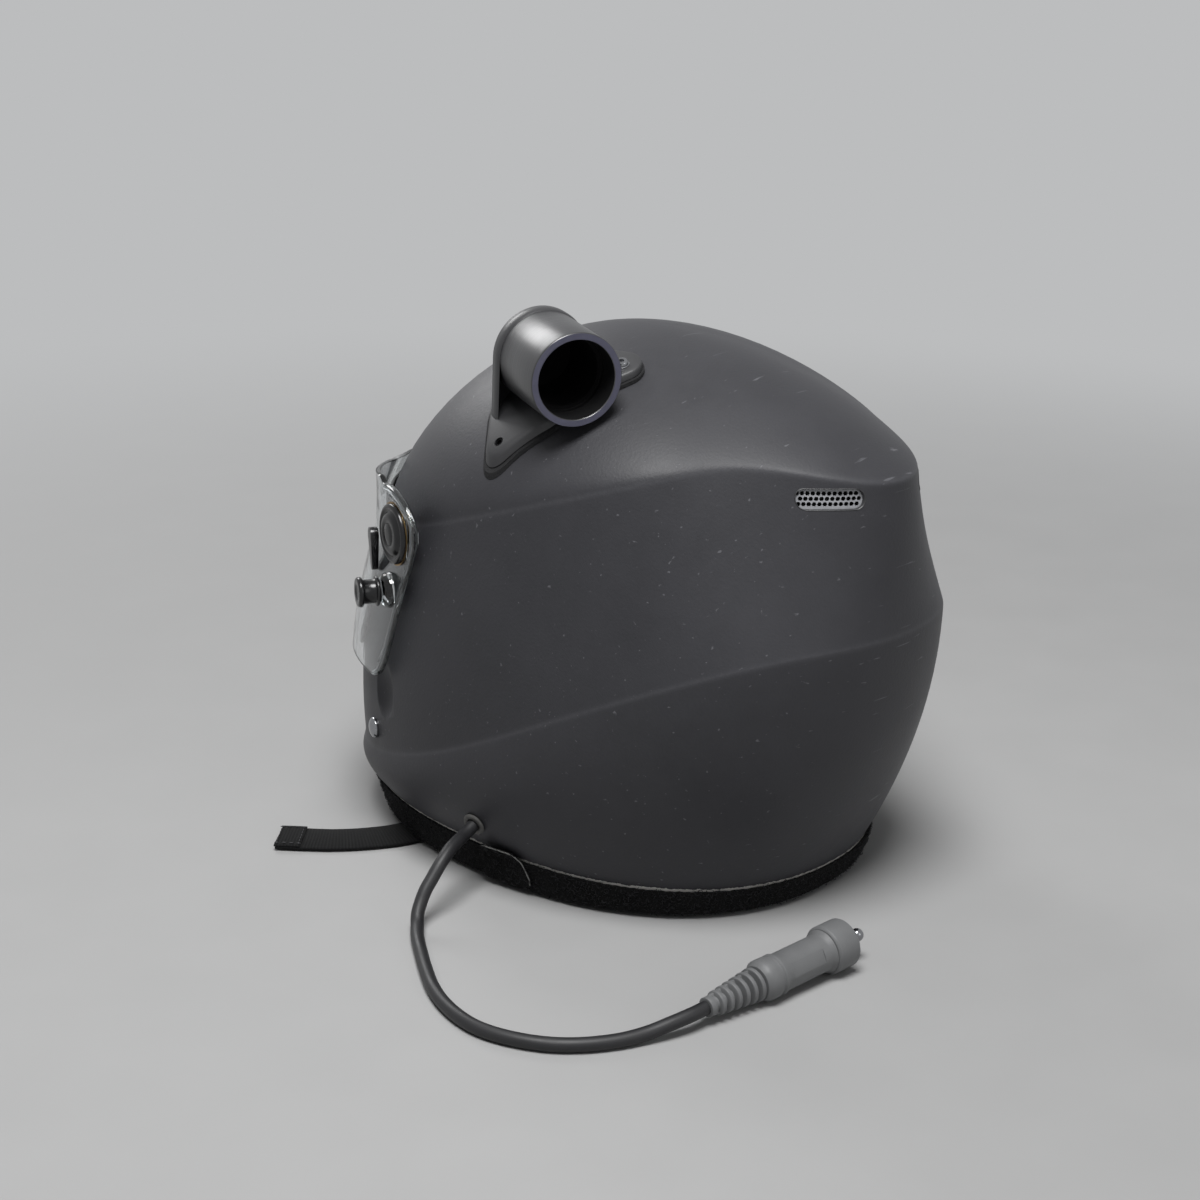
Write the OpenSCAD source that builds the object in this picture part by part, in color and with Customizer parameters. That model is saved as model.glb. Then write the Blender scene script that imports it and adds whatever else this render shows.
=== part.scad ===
// Full-face auto racing helmet with a top air inlet and a radio lead.
// The helmet faces -Y and the wearer's left is +X. It stands on the floor, z = 0, and the
// origin is on the floor below the middle of the helmet. Angles on the shell are azimuths:
// 0 is the chin, 90 the wearer's left side and 180 the nape.

/* [Shell] */
// Height of the crown
crown_h = 269; // [255:1:285]
// Wall thickness of the shell
shell_wall = 4; // [3:0.5:5]
// Height of the rim's lower edge
rim_h = 2.5; // [2.5:0.5:6]
// Reach of the rim to the front
rim_front = 137; // [130:1:145]
// Reach of the rim to each side
rim_side = 106; // [100:1:112]
// Reach of the rim to the rear
rim_rear = 126; // [118:1:134]
// Height of the band at the rim, at the chin
band_front_h = 23; // [18:1:30]
// Height of the band at the rim, at the nape
band_rear_h = 16; // [12:1:22]
// How far the top of the band stands out beyond the rim, at the chin
band_flare = 8.5; // [5:0.5:12]

/* [Creases] */
// Reach of the lower crease to the front
low_front = 157; // [150:1:164]
// Reach of the lower crease to each side
low_side = 126.5; // [120:0.5:132]
// Reach of the lower crease to the rear
low_rear = 166; // [158:1:174]
// Height of the lower crease at the chin
low_front_h = 35; // [30:1:42]
// Height of the lower crease at the sides
low_side_h = 77; // [68:1:86]
// Height of the lower crease at the rear
low_rear_h = 151; // [140:1:160]
// Reach of the upper crease to the front
up_front = 138.5; // [130:0.5:146]
// Reach of the upper crease to each side
up_side = 118; // [112:0.5:124]
// Reach of the upper crease to the rear, without its peak
up_rear = 122; // [116:1:128]
// How far the peak of the upper crease stands out at the rear
peak_reach = 38; // [25:1:45]
// Half width of that peak, in degrees
peak_half = 40; // [32:1:50]
// How far the upper crease dips at that peak
up_dip = 12; // [0:1:16]
// How far the lower crease dips there
low_dip = 6; // [0:1:10]
// Height of the upper crease above the eyeport
up_front_h = 152; // [145:1:160]
// Height of the upper crease at the sides
up_side_h = 191; // [184:1:198]
// Height of the upper crease at the rear
up_rear_h = 230; // [222:1:238]

/* [Eyeport and shield] */
// Half width of the eyeport, in degrees
port_half = 48; // [40:1:52]
// Height of the eyeport's lower edge
port_low = 101; // [98:1:106]
// Height of the eyeport's upper edge
port_high = 176; // [168:1:180]
// Thickness of the clear shield
shield_t = 2.5; // [2:0.25:3]
// Gap between the shell and the shield in front
shield_gap = 4; // [3.5:0.25:5]
// Gap between the shell and the shield's ears
ear_gap = 6.5; // [6:0.5:9]
// Height of the shield's hinge line
pivot_z = 172; // [168:1:176]
// How far the hinge line lies in front of the helmet's middle
pivot_fwd = 54; // [50:1:58]
// Half height of the shield's ears
ear_r = 22; // [19:0.5:25]
// How far the ears reach behind the hinge pins
ear_rear = 30; // [26:1:33]
// Radius of the hinge pins
pin_r = 4; // [3:0.25:5]
// Radius of the round caps over the pins
cap_r = 15; // [12:0.5:17]
// Diameter of the tear-off posts' bobbins
post_d = 15; // [12:0.5:18]

/* [Air inlet] */
// Outer diameter of the nozzle
nozzle_d = 44.5; // [40:0.5:48]
// Wall of the nozzle
nozzle_wall = 3.5; // [2.5:0.5:5]
// Length of nozzle in view, from the cowl to the mouth
nozzle_len = 42; // [30:1:55]
// Depth of the nozzle's axis under the top of the crown
duct_under = 6; // [4:0.5:9]
// Depth of the cowl behind the nozzle
cowl_depth = 15; // [12:0.5:20]
// Thickness of the cowl's flange
flange_t = 3; // [2:0.5:4]
// Radius of the flange's screw lobes
lobe_r = 9; // [7:0.5:11]

/* [Rear vents] */
// Height of the vent slots' middle
vent_z = 212; // [206:1:216]
// Azimuth of the vent slots' middle
vent_mid = 166.5; // [160:0.5:168]
// Half length of a slot, in degrees
vent_half = 5.6; // [4.5:0.1:6.5]
// Height of a slot
vent_h = 10; // [7:0.5:13]

/* [Radio lead] */
// Diameter of the lead
cord_d = 6.5; // [5:0.25:8]
// Diameter of the plug's head
plug_head_d = 23.2; // [20:0.2:24]
// Diameter of the plug's grip
plug_grip_d = 18; // [16:0.5:20]
// Diameter of the plug's collar
plug_collar_d = 19.4; // [18:0.2:21]
// Diameter of the plug's contact
plug_tip_d = 5.6; // [4:0.2:7]

/* [Padding and straps] */
// Thickness of the comfort liner
pad_t = 9; // [6:0.5:12]
// Depth of the cheek pads
cheek_t = 29; // [20:1:32]
// Height of the neck roll
roll_h = 21; // [16:1:22]
// Depth of the neck roll
roll_t = 21; // [16:1:26]
// Width of the chin strap's webbing
web_w = 25; // [20:1:26]
// Thickness of the webbing
web_t = 2; // [1.5:0.1:2.2]
// Wire radius of the D-rings
ring_wire_r = 1.5; // [1:0.1:1.8]

/* [Hidden] */
$fn = 64;

// Clearances
fit = 0.1;
gap = 0.3;
liner_gap = 1;

// Columns round the shell, and round the parts inside it
shell_cols = 72;
liner_cols = 36;

matte_black = "#3c3c3e";
gloss_black = "#17171a";
clear_grey = "#b9bec2";
foam_black = "#202022";
foam_grey = "#55565a";
rubber_grey = "#5e6063";
chrome = "#c9cacc";

// Small functions

function mix(a, b, t) = a + (b - a) * t;
function smooth(x) = let (t = min(max(x, 0), 1)) t * t * (3 - 2 * t);
function unit(v) = v / norm(v);
// A value that runs smoothly from the front over the side to the rear
function around(front, side, rear, a) =
  let (c2 = (front + rear) / 4 - side / 2)
  (front + rear) / 4 + side / 2 + (front - rear) / 2 * cos(a) + c2 * cos(2 * a);
// The plan of a ring: two half superellipses that meet at the sides
function plan(front, side, rear, nf, nr, a) =
  let (c = cos(a), reach = c > 0 ? front : rear, n = c > 0 ? nf : nr)
  pow(pow(abs(c) / reach, n) + pow(abs(sin(a)) / side, n), -1 / n);

// The shell's outer surface: rim, top of the band, two creases and the crown

function rim_r(a) = plan(rim_front, rim_side, rim_rear, 2.4, 2.2, a);
function band_r(a) = rim_r(a) + around(band_flare, 3.5, 4.5, a);
function band_z(a) = around(band_front_h, (band_front_h + band_rear_h) / 2, band_rear_h, a);
function low_r(a) = plan(low_front, low_side, low_rear, 2, 2.1, a);
function off_rear(a) = abs((a % 360 + 360) % 360 - 180);
function peak(a) = off_rear(a) < peak_half ? pow(cos(90 * off_rear(a) / peak_half), 3) : 0;
function low_z(a) = around(low_front_h, low_side_h, low_rear_h, a) - low_dip * peak(a);
function up_r(a) = plan(up_front, up_side, up_rear, 2, 2, a) + peak_reach * peak(a);
function up_z(a) = around(up_front_h, up_side_h, up_rear_h, a) - up_dip * peak(a);
function low_bow(a) = around(4.6, 6.4, 8.2, a);
function up_bow(a) = around(7.2, 3.4, 0, a);
function roundness(a) = around(0.7, 0.62, 0.06, a);
function bow(r0, r1, b, t) = mix(r0, r1, t) + b * 4 * t * (1 - t);
// Rise of the crown over its crease, from 0 at the crease to 1 at the top
function crown_rise(a, w) = (1 - roundness(a)) * pow(sin(w), 2) + roundness(a) * sin(w);

// Radius of the surface at azimuth a and height z, moved inwards by off
function shell_r(a, z, off = 0) =
  let (zv = band_z(a), zl = low_z(a), zu = up_z(a), c = roundness(a),
       q = min(1, max(0, z - zu) / (crown_h - off - zu)),
       s = (-c + sqrt(c * c + 4 * (1 - c) * q)) / (2 * (1 - c)))
  z < zv ? mix(rim_r(a), band_r(a), max(0, (z - rim_h) / (zv - rim_h))) - off :
  z < zl ? bow(band_r(a), low_r(a), low_bow(a), (z - zv) / (zl - zv)) - off :
  z < zu ? bow(low_r(a), up_r(a), up_bow(a), (z - zl) / (zu - zl)) - off :
  (up_r(a) - off) * sqrt(max(0, 1 - s * s));
function polar(r, a, z) = [r * sin(a), -r * cos(a), z];
function on_shell(a, z, off = 0) = polar(shell_r(a, z, off), a, z);

// The same surface by level: 0 rim, 1 band, 2 lower crease, 3 upper crease, 4 top
function level_z(a, u, off) =
  u < 1 ? mix(rim_h, band_z(a), u) :
  u < 2 ? mix(band_z(a), low_z(a), u - 1) :
  u < 3 ? mix(low_z(a), up_z(a), u - 2) :
  mix(up_z(a), crown_h - off, crown_rise(a, 90 * (u - 3)));
function level_r(a, u, off) =
  u < 3 ? shell_r(a, level_z(a, u, off), off) : (up_r(a) - off) * cos(90 * (u - 3));
function level_ring(u, off, cols) = u == 4 ? [[0, 0, crown_h - off]] :
  [for (j = [0:cols - 1]) let (a = 360 * j / cols) polar(level_r(a, u, off), a, level_z(a, u, off))];

// Height of the crown over a point of the plan, lifted by d along the surface normal
function crown_z(x, y) =
  let (a = atan2(x, -y), w = acos(min(1, norm([x, y]) / up_r(a))))
  mix(up_z(a), crown_h, crown_rise(a, w));
function crown_slope(x, y) =
  [(crown_z(x + 1, y) - crown_z(x - 1, y)) / 2, (crown_z(x, y + 1) - crown_z(x, y - 1)) / 2];
function crown_normal(x, y) = let (g = crown_slope(x, y)) unit([-g[0], -g[1], 1]);
function lift_z(x, y, d) = crown_z(x, y) + d / crown_normal(x, y)[2];

// Building blocks

// Skins a row of rings. Points run anticlockwise when seen from the ring before.
// A first or last ring of one point closes in a tip, looped joins the last to the first,
// and crossed splits each panel along its other diagonal.
module skin(rings, looped = false, crossed = false) {
  n = len(rings[1]);
  m = len(rings);
  tip_a = len(rings[0]) == 1;
  tip_b = len(rings[m - 1]) == 1;
  shift = tip_a ? n - 1 : 0;
  first = tip_a ? 1 : 0;
  last = tip_b ? m - 2 : m - 1;
  function at(i, j) = (i % m) * n + j % n - shift;
  sides = [for (i = [first:1:looped ? last : last - 1], j = [0:n - 1], k = [0, 1])
    crossed ?
      (k == 0 ? [at(i, j), at(i, j + 1), at(i + 1, j)] : [at(i, j + 1), at(i + 1, j + 1), at(i + 1, j)]) :
      (k == 0 ? [at(i, j), at(i, j + 1), at(i + 1, j + 1)] : [at(i, j), at(i + 1, j + 1), at(i + 1, j)])];
  start = looped ? [] : tip_a ? [for (j = [0:n - 1]) [0, at(1, j + 1), at(1, j)]] :
    [for (j = [0:n / 2 - 2], k = [0, 1])
      k == 0 ? [at(0, j), at(0, n - 2 - j), at(0, j + 1)] : [at(0, j), at(0, n - 1 - j), at(0, n - 2 - j)]];
  end = looped ? [] : tip_b ? [for (j = [0:n - 1]) [at(last, j), at(last, j + 1), at(m - 1, 0)]] :
    [for (j = [0:n / 2 - 2], k = [0, 1])
      k == 0 ? [at(last, j), at(last, j + 1), at(last, n - 2 - j)] :
      [at(last, j), at(last, n - 2 - j), at(last, n - 1 - j)]];
  polyhedron(points = [for (r = rings) each r], faces = concat(sides, start, end), convexity = 10);
}

// A panel that follows the shell: azimuths, lower and upper edge, and depths below the surface
module panel(azimuths, rows, low, high, outer, inner, looped = false) {
  skin([for (a = azimuths) concat(
    [for (k = [0:rows]) let (z = mix(low(a), high(a), k / rows)) on_shell(a, z, outer(a, z))],
    [for (k = [rows:-1:0]) let (z = mix(low(a), high(a), k / rows)) on_shell(a, z, inner(a, z))])],
    looped);
}

// An opening is a rounded rectangle on the shell: [middle azimuth, half width in degrees,
// middle height, half height, corner radius, steps along the width, the height and a corner]
function corner_arc(w, h, r, from, steps) =
  [for (i = [0:steps - 1]) let (t = from + 90 * i / steps)
    [sign(cos(from + 45)) * (w - r) + r * cos(t), sign(sin(from + 45)) * (h - r) + r * sin(t)]];
function edge_points(p, q, steps) = [for (i = [0:steps - 1]) p + (q - p) * i / steps];
function rounded(w, h, r, nw, nh, nc) = concat(
  edge_points([w, r - h], [w, h - r], nh), corner_arc(w, h, r, 0, nc),
  edge_points([w - r, h], [r - w, h], nw), corner_arc(w, h, r, 90, nc),
  edge_points([-w, h - r], [-w, r - h], nh), corner_arc(w, h, r, 180, nc),
  edge_points([r - w, -h], [w - r, -h], nw), corner_arc(w, h, r, 270, nc));
// The points of such an outline, drawn in by e and at a depth below the surface
function port_ring(o, e, off) =
  let (per_degree = shell_r(o[0], o[2]) * PI / 180)
  [for (p = rounded(o[1] * per_degree - e, o[3] - e, o[4] - e, o[5], o[6], o[7]))
    on_shell(o[0] + p[0] / per_degree, o[2] + p[1], off)];
module port(o, e, from, to) {
  skin([port_ring(o, e, from), port_ring(o, e, to)]);
}
// A closed strip along such an outline, with its section as [drawn in, depth] points
module port_strip(o, section) {
  rows = [for (s = section) port_ring(o, s[0], s[1])];
  skin([for (i = [0:len(rows[0]) - 1]) [for (row = rows) row[i]]], looped = true);
}

// Turns local z to a heading in the plan and a rise above it
module aim(p, heading, rise) {
  translate(p) rotate([0, 90 - rise, heading]) children();
}
module aim_along(p, v) {
  aim(p, atan2(v[1], v[0]), asin(v[2] / norm(v))) children();
}
module both_sides() {
  children();
  mirror([1, 0, 0]) children();
}
module sides(left) {
  if (left) children();
  else mirror([1, 0, 0]) children();
}

// A flat band through stations of a point and the direction of its width
function band_ring(p, t, side, w, h) =
  let (s = unit(side - t * (side * t)), u = cross(s, t))
  [p + s * w / 2 + u * h / 2, p - s * w / 2 + u * h / 2, p - s * w / 2 - u * h / 2, p + s * w / 2 - u * h / 2];
function tangent(pts, i) = unit(pts[min(i + 1, len(pts) - 1)] - pts[max(i - 1, 0)]);

// Shell

port_mid_z = (port_low + port_high) / 2;
port_half_h = (port_high - port_low) / 2;
eyeport = [0, port_half, port_mid_z, port_half_h, 22, 18, 4, 5];
vent = [vent_mid, vent_half, vent_z, vent_h / 2, vent_h / 2 - 0.4, 6, 1, 4];
pivot_x = sqrt(pow(shell_r(62, pivot_z), 2) - pivot_fwd * pivot_fwd);
pivot = [pivot_x, -pivot_fwd, pivot_z];
base_r = pin_r + 2;
nut_r = base_r + 2.5;
duct_heading = 65;
duct_rise = -4;
duct_z = crown_h - duct_under;
duct = [78, 6, duct_z];
bore_r = nozzle_d / 2 - nozzle_wall;
seat_r = nozzle_d / 2 + fit;
cowl_r = seat_r + 3;
nozzle_seat = 5.5;
screw_spots = [[102.5, 5], [53.2, 34.2]];
screw_r = 2;
chin_screw = [53.3, 60];
chin_screw_lean = 63;
chin_screw_r = 2.4;
grommet_spot = [91, 35.5];
grommet_dir = [0.93, 0.1, -0.33];
grommet_neck_r = cord_d / 2 + 1;
scoop = [61, 87];
scoop_r = 26;
scoop_depth = 2.2;

outer_levels = [4, 3.93, 3.85, 3.75, 3.62, 3.5, 3.36, 3.22, 3.1, 3, 2.8, 2.6, 2.4, 2.2, 2, 1.75, 1.5, 1.25, 1, 0];
inner_levels = [0, 1, 1.2, 1.4, 1.6, 1.8, 2, 2.25, 2.5, 2.75, 3, 3.12, 3.25, 3.4, 3.55, 3.7, 3.85, 4];

module outer_shell() {
  color(matte_black) difference() {
    skin(concat([for (u = outer_levels) level_ring(u, 0, shell_cols)],
      [for (u = inner_levels) level_ring(u, shell_wall, shell_cols)]));
    port(eyeport, 0, -12, shell_wall + 12);
    both_sides() port(vent, 0, -8, shell_wall + 6);
    both_sides() translate([pivot_x - 20, -pivot_fwd, pivot_z]) rotate([0, 90, 0])
      cylinder(h = 30, r = base_r + fit);
    both_sides() aim_along(on_shell(chin_screw[0], chin_screw[1]), [sin(chin_screw_lean), -cos(chin_screw_lean), 0])
      translate([0, 0, -12]) cylinder(h = 20, r = chin_screw_r + fit);
    both_sides() aim_along(on_shell(scoop[0], scoop[1]), [sin(scoop[0]), -cos(scoop[0]), 0])
      translate([0, 0, scoop_r - scoop_depth]) sphere(r = scoop_r);
    aim_along(on_shell(grommet_spot[0], grommet_spot[1]), grommet_dir)
      translate([0, 0, -14]) cylinder(h = 24, r = grommet_neck_r + fit);
    for (s = screw_spots) aim_along([s[0], s[1], crown_z(s[0], s[1])], crown_normal(s[0], s[1]))
      translate([0, 0, -14]) cylinder(h = 24, r = screw_r + fit);
    duct_cut(seat_r + gap);
  }
}

// Section of the rubber edge: a channel over the edge of the eyeport
gasket_lip = 5;
gasket_bead = 2.5;
gasket_seat = 0.8;
gasket_t = 1.5;
gasket_section = let (out = -gasket_seat, in = shell_wall + gasket_seat) [[-gasket_lip, out],
  [-gasket_lip, out - gasket_t], [gasket_bead, out - gasket_t], [gasket_bead, in + gasket_t],
  [-gasket_lip, in + gasket_t], [-gasket_lip, in], [gap, in], [gap, out]];
module eyeport_gasket() {
  color(foam_black) port_strip(eyeport, gasket_section);
}

tape_t = 1.4;
tape_low = 0.3;
module rim_loop_tape() {
  color(foam_black) panel([for (j = [0:shell_cols - 1]) 360 * j / shell_cols], 2,
    function (a) rim_h + tape_low, function (a) band_z(a) - 0.6,
    function (a, z) -gap - tape_t, function (a, z) -gap, looped = true);
}
// The tape's free end, lapped over the band and lifting at its tail
flap_from = 90;
flap_to = 112;
module tape_flap() {
  function lap(a) = (a - flap_from) / (flap_to - flap_from);
  function lift(a) = gap + tape_t + gap + 2.2 * pow(1 - lap(a), 2);
  color(foam_black) panel([for (i = [0:10]) mix(flap_from, flap_to, i / 10)], 2,
    function (a) rim_h + 1 + 5 * pow(abs(2 * lap(a) - 1), 4),
    function (a) band_z(a) + 4 - 5 * pow(abs(2 * lap(a) - 1), 4),
    function (a, z) -lift(a) - tape_t, function (a, z) -lift(a));
}

// Rear vents: a moulded insert with a sleeve in the slot, a lip behind the wall and a hex mesh

mesh_rows = 3;
mesh_cols = 12;
mesh_hole_r = 1.15;
mesh_pitch = 2.5;
vent_lean = 137;
mesh_depth = 1.4;
mesh_t = 0.9;
module vent_mesh(left) {
  // Travel along the wall for one degree, because the wall runs aslant there
  vent_arc = shell_r(vent_mid, vent_z) * PI / 180 / cos(vent_mid - vent_lean);
  color(foam_black) sides(left) {
    difference() {
      port(vent, gap, mesh_depth, mesh_depth + mesh_t);
      for (row = [0:mesh_rows - 1], col = [0:mesh_cols - 1]) {
        a = vent_mid + (col - (mesh_cols - 1) / 2 + (row % 2) / 2 - 0.25) * mesh_pitch / vent_arc;
        z = vent_z + (row - (mesh_rows - 1) / 2) * mesh_pitch * 0.95;
        aim_along(on_shell(a, z, mesh_depth), [sin(vent_lean), -cos(vent_lean), 0])
          rotate([0, 0, 30]) cylinder(h = 12, r = mesh_hole_r, center = true, $fn = 6);
      }
    }
  }
}
module vent_mesh_left() { vent_mesh(true); }
module vent_mesh_right() { vent_mesh(false); }

// Air inlet: a seal and a flange that follow the crown, a hooded cowl and a straight nozzle

seal_t = 1.5;
flange_low = gap + seal_t + gap;
plate_x = [for (i = [0:9]) mix(40, 113, i / 9)];
plate_y = [for (i = [0:10]) mix(-30, 48, i / 10)];
module crown_slab(low, high) {
  skin([for (x = plate_x) concat([for (y = plate_y) [x, y, lift_z(x, y, high)]],
    [for (i = [len(plate_y) - 1:-1:0]) [x, plate_y[i], lift_z(x, plate_y[i], low)]])]);
}
module flange_outline(extra) {
  hull() {
    translate([duct[0], duct[1]]) circle(r = cowl_r + extra);
    for (s = screw_spots) translate(s) circle(r = lobe_r + extra, $fn = 32);
  }
}
// The air turns down behind the nozzle, through the wall and the liner
module duct_drop(extra) {
  translate([duct[0], duct[1], duct_z - 60]) cylinder(h = 60 + 6, r = cowl_depth - 4 + extra);
}
module duct_cut(r) {
  aim(duct, duct_heading, duct_rise) translate([0, 0, -nozzle_seat - gap]) cylinder(h = nozzle_len + 20, r = r);
  duct_drop(gap);
}
module screw_cut(r) {
  for (s = screw_spots) aim_along([s[0], s[1], crown_z(s[0], s[1])], crown_normal(s[0], s[1]))
    translate([0, 0, -14]) cylinder(h = 30, r = r);
}
module inlet_seal() {
  color(foam_black) difference() {
    intersection() {
      crown_slab(gap, gap + seal_t);
      translate([0, 0, crown_h / 2]) linear_extrude(height = crown_h) flange_outline(1.2);
    }
    duct_cut(seat_r + gap);
    screw_cut(screw_r + fit);
  }
}
// The hood is a row of arches along the duct, lower and narrower towards its back
duct_along = [cos(duct_rise) * cos(duct_heading), cos(duct_rise) * sin(duct_heading), sin(duct_rise)];
duct_across = [-sin(duct_heading), cos(duct_heading), 0];
duct_up = cross(duct_along, duct_across);
hood_drop = 34;
function arch(r) = concat([[r, -hood_drop]],
  [for (i = [0:17]) let (t = 180 * i / 17) [r * cos(t), r * sin(t)]], [[-r, -hood_drop]]);
function hood_ring(t) = [for (p = arch(cowl_r * cos(t)))
  duct - duct_along * cowl_depth * sin(t) + duct_across * p[0] + duct_up * p[1]];
module inlet_cowl() {
  color(matte_black) difference() {
    union() {
      intersection() {
        crown_slab(flange_low, flange_low + flange_t);
        translate([0, 0, crown_h / 2]) linear_extrude(height = crown_h) flange_outline(0);
      }
      difference() {
        skin([for (i = [0:8]) hood_ring(10.5 * i)]);
        crown_slab(-40, flange_low + 1);
      }
    }
    aim(duct, duct_heading, duct_rise) translate([0, 0, -nozzle_seat - gap]) cylinder(h = nozzle_len, r = seat_r);
    duct_drop(0);
    screw_cut(screw_r + fit);
  }
}
// A fine groove round the nozzle marks how far the hose's cuff goes on
module air_nozzle() {
  ledge = 2;
  groove = 0.3;
  cuff_stop = nozzle_len - 0.8 - 8;
  color(gloss_black) aim(duct, duct_heading, duct_rise) rotate_extrude() polygon([
    [bore_r - ledge, -nozzle_seat], [nozzle_d / 2, -nozzle_seat], [nozzle_d / 2, cuff_stop - 2 * groove],
    [nozzle_d / 2 - groove, cuff_stop - groove], [nozzle_d / 2, cuff_stop], [nozzle_d / 2, nozzle_len - 0.8],
    [nozzle_d / 2 - 0.8, nozzle_len], [bore_r, nozzle_len], [bore_r, nozzle_len - 16],
    [bore_r - ledge, nozzle_len - 16]]);
}
module inlet_screws() {
  seat = flange_low + flange_t + 0.4;
  color(gloss_black) for (s = screw_spots)
    aim_along([s[0], s[1], crown_z(s[0], s[1])], crown_normal(s[0], s[1])) difference() {
      union() {
        translate([0, 0, -7]) cylinder(h = 7 + seat, r = screw_r);
        translate([0, 0, seat]) cylinder(h = 2, r = 3.8);
      }
      translate([0, 0, seat + 0.8]) cylinder(h = 2, r = 1.3, $fn = 6);
    }
}

// Shield and its hinges

// The shield follows the shell in front, and its ears stand upright round the hinge line
function ear_share(a, z) = smooth((abs(a) - 36) / 18) * smooth((z - 148) / 14);
function shield_off(a, z) =
  -mix(shield_gap, ear_gap + shell_r(a, pivot_z) - shell_r(a, z), ear_share(a, z));
ear_mid = 62;
ear_reach = ear_rear / (shell_r(ear_mid, pivot_z, -ear_gap) * PI / 180);
shield_end = ear_mid + ear_reach - 0.4;
corner_at = 60;
corner_z = 95;
tail_sag = 16;
brow_at = 57;
function ear_half(a) = sqrt(max(0, 1 - pow((abs(a) - ear_mid) / ear_reach, 2))) * ear_r;
// Share of the way from the lower corner to the rear of the ear
function tail(a) = (abs(a) - corner_at) / (shield_end - corner_at);
function shield_low(a) = abs(a) < corner_at ? mix(90, corner_z, smooth(abs(a) / corner_at)) :
  mix(corner_z, pivot_z, tail(a)) - tail_sag * sin(180 * min(1, tail(a) / 0.75));
function shield_high(a) = abs(a) > brow_at + 2 ? pivot_z + ear_half(a) :
  mix(188, 196, smooth((abs(a) - 20) / 25));
shield_azimuths = let (half = concat([for (a = [0:5:50]) a], [54, brow_at],
    [for (i = [0:12]) mix(corner_at, shield_end, i / 12)]))
  concat([for (i = [len(half) - 1:-1:1]) -half[i]], half);

module face_shield() {
  color(clear_grey) difference() {
    panel(shield_azimuths, 9, function (a) shield_low(a), function (a) shield_high(a),
      function (a, z) shield_off(a, z) - shield_t, function (a, z) shield_off(a, z));
    both_sides() translate([pivot_x, -pivot_fwd, pivot_z]) rotate([0, 90, 0]) cylinder(h = 30, r = pin_r + fit);
  }
}

// Where the hinge line crosses the shield, and how far the ear leans from it
ear_face_r = shell_r(62, pivot_z) + ear_gap;
ear_in_x = sqrt(pow(ear_face_r, 2) - pow(pivot_fwd, 2));
ear_out_x = sqrt(pow(ear_face_r + shield_t, 2) - pow(pivot_fwd, 2));
ear_lean = 70;
module pivot_base(left) {
  base_end = ear_in_x - base_r * 0.62 - gap;
  color(gloss_black) sides(left) translate([0, -pivot_fwd, pivot_z]) rotate([0, 90, 0]) {
    translate([0, 0, pivot_x - 9]) cylinder(h = base_end - pivot_x + 9, r = base_r);
    translate([0, 0, base_end]) cylinder(h = ear_out_x + 2 - base_end, r = pin_r);
    translate([0, 0, pivot_x - 14]) cylinder(h = 5, r = nut_r);
  }
}
module pivot_base_left() { pivot_base(true); }
module pivot_base_right() { pivot_base(false); }
module pivot_cap(left) {
  color(gloss_black) sides(left) difference() {
    aim_along([ear_out_x, -pivot_fwd, pivot_z], [sin(ear_lean), -cos(ear_lean), 0]) translate([0, 0, gap + 0.2])
      rotate_extrude() polygon([[0, 0], [cap_r, 0], [cap_r, 1.8], [cap_r - 1, 2.8], [cap_r - 2.5, 2.8],
        [cap_r - 3.2, 2.2], [cap_r - 4, 2.2], [cap_r - 4.6, 3.2], [cap_r - 7, 3.8], [0, 4.2]]);
    translate([ear_out_x - 8, -pivot_fwd, pivot_z]) rotate([0, 90, 0]) cylinder(h = 8 + 2 + gap, r = pin_r + fit);
  }
}
module pivot_cap_left() { pivot_cap(true); }
module pivot_cap_right() { pivot_cap(false); }

post_spot = [65, 143];
post_lean = 60;
module tearoff_post(left) {
  foot = on_shell(post_spot[0], post_spot[1], shield_off(post_spot[0], post_spot[1]) - shield_t);
  color(gloss_black) sides(left) aim_along(foot, [sin(post_lean), -cos(post_lean), 0]) rotate_extrude()
    polygon([[0, 1.4], [5, 1.4], [5, 4], [3.4, 4.6], [3.4, 6.2], [post_d / 2 - 0.6, 6.2], [post_d / 2, 6.8],
      [post_d / 2, 8], [post_d / 2 - 0.6, 8.6], [4.6, 9.2], [4.6, 13], [post_d / 2 - 0.6, 13.4],
      [post_d / 2, 14], [post_d / 2, 15.4], [post_d / 2 - 0.6, 16], [0, 16]]);
}
module tearoff_post_left() { tearoff_post(true); }
module tearoff_post_right() { tearoff_post(false); }

module shield_lever() {
  p = on_shell(56, 158, shield_off(56, 158) - shield_t);
  color(gloss_black) aim_along(p, [sin(60), -cos(60), 0]) translate([0, 0, 2.5]) hull() {
    translate([8, 0, 0]) cylinder(h = 3, r = 2.5, $fn = 32);
    translate([-8, 1, 0]) cylinder(h = 4, r = 4, $fn = 32);
  }
}

module chin_screws() {
  color(chrome) both_sides()
    aim_along(on_shell(chin_screw[0], chin_screw[1]), [sin(chin_screw_lean), -cos(chin_screw_lean), 0]) {
      translate([0, 0, -shell_wall - 0.8]) cylinder(h = shell_wall + 1.8, r = chin_screw_r);
      translate([0, 0, 1]) rotate_extrude() polygon(concat([[0, 0]],
        [for (i = [0:8]) [5.5 * cos(90 * i / 8), 2.6 * sin(90 * i / 8)]]));
    }
}

// Radio lead

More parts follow.
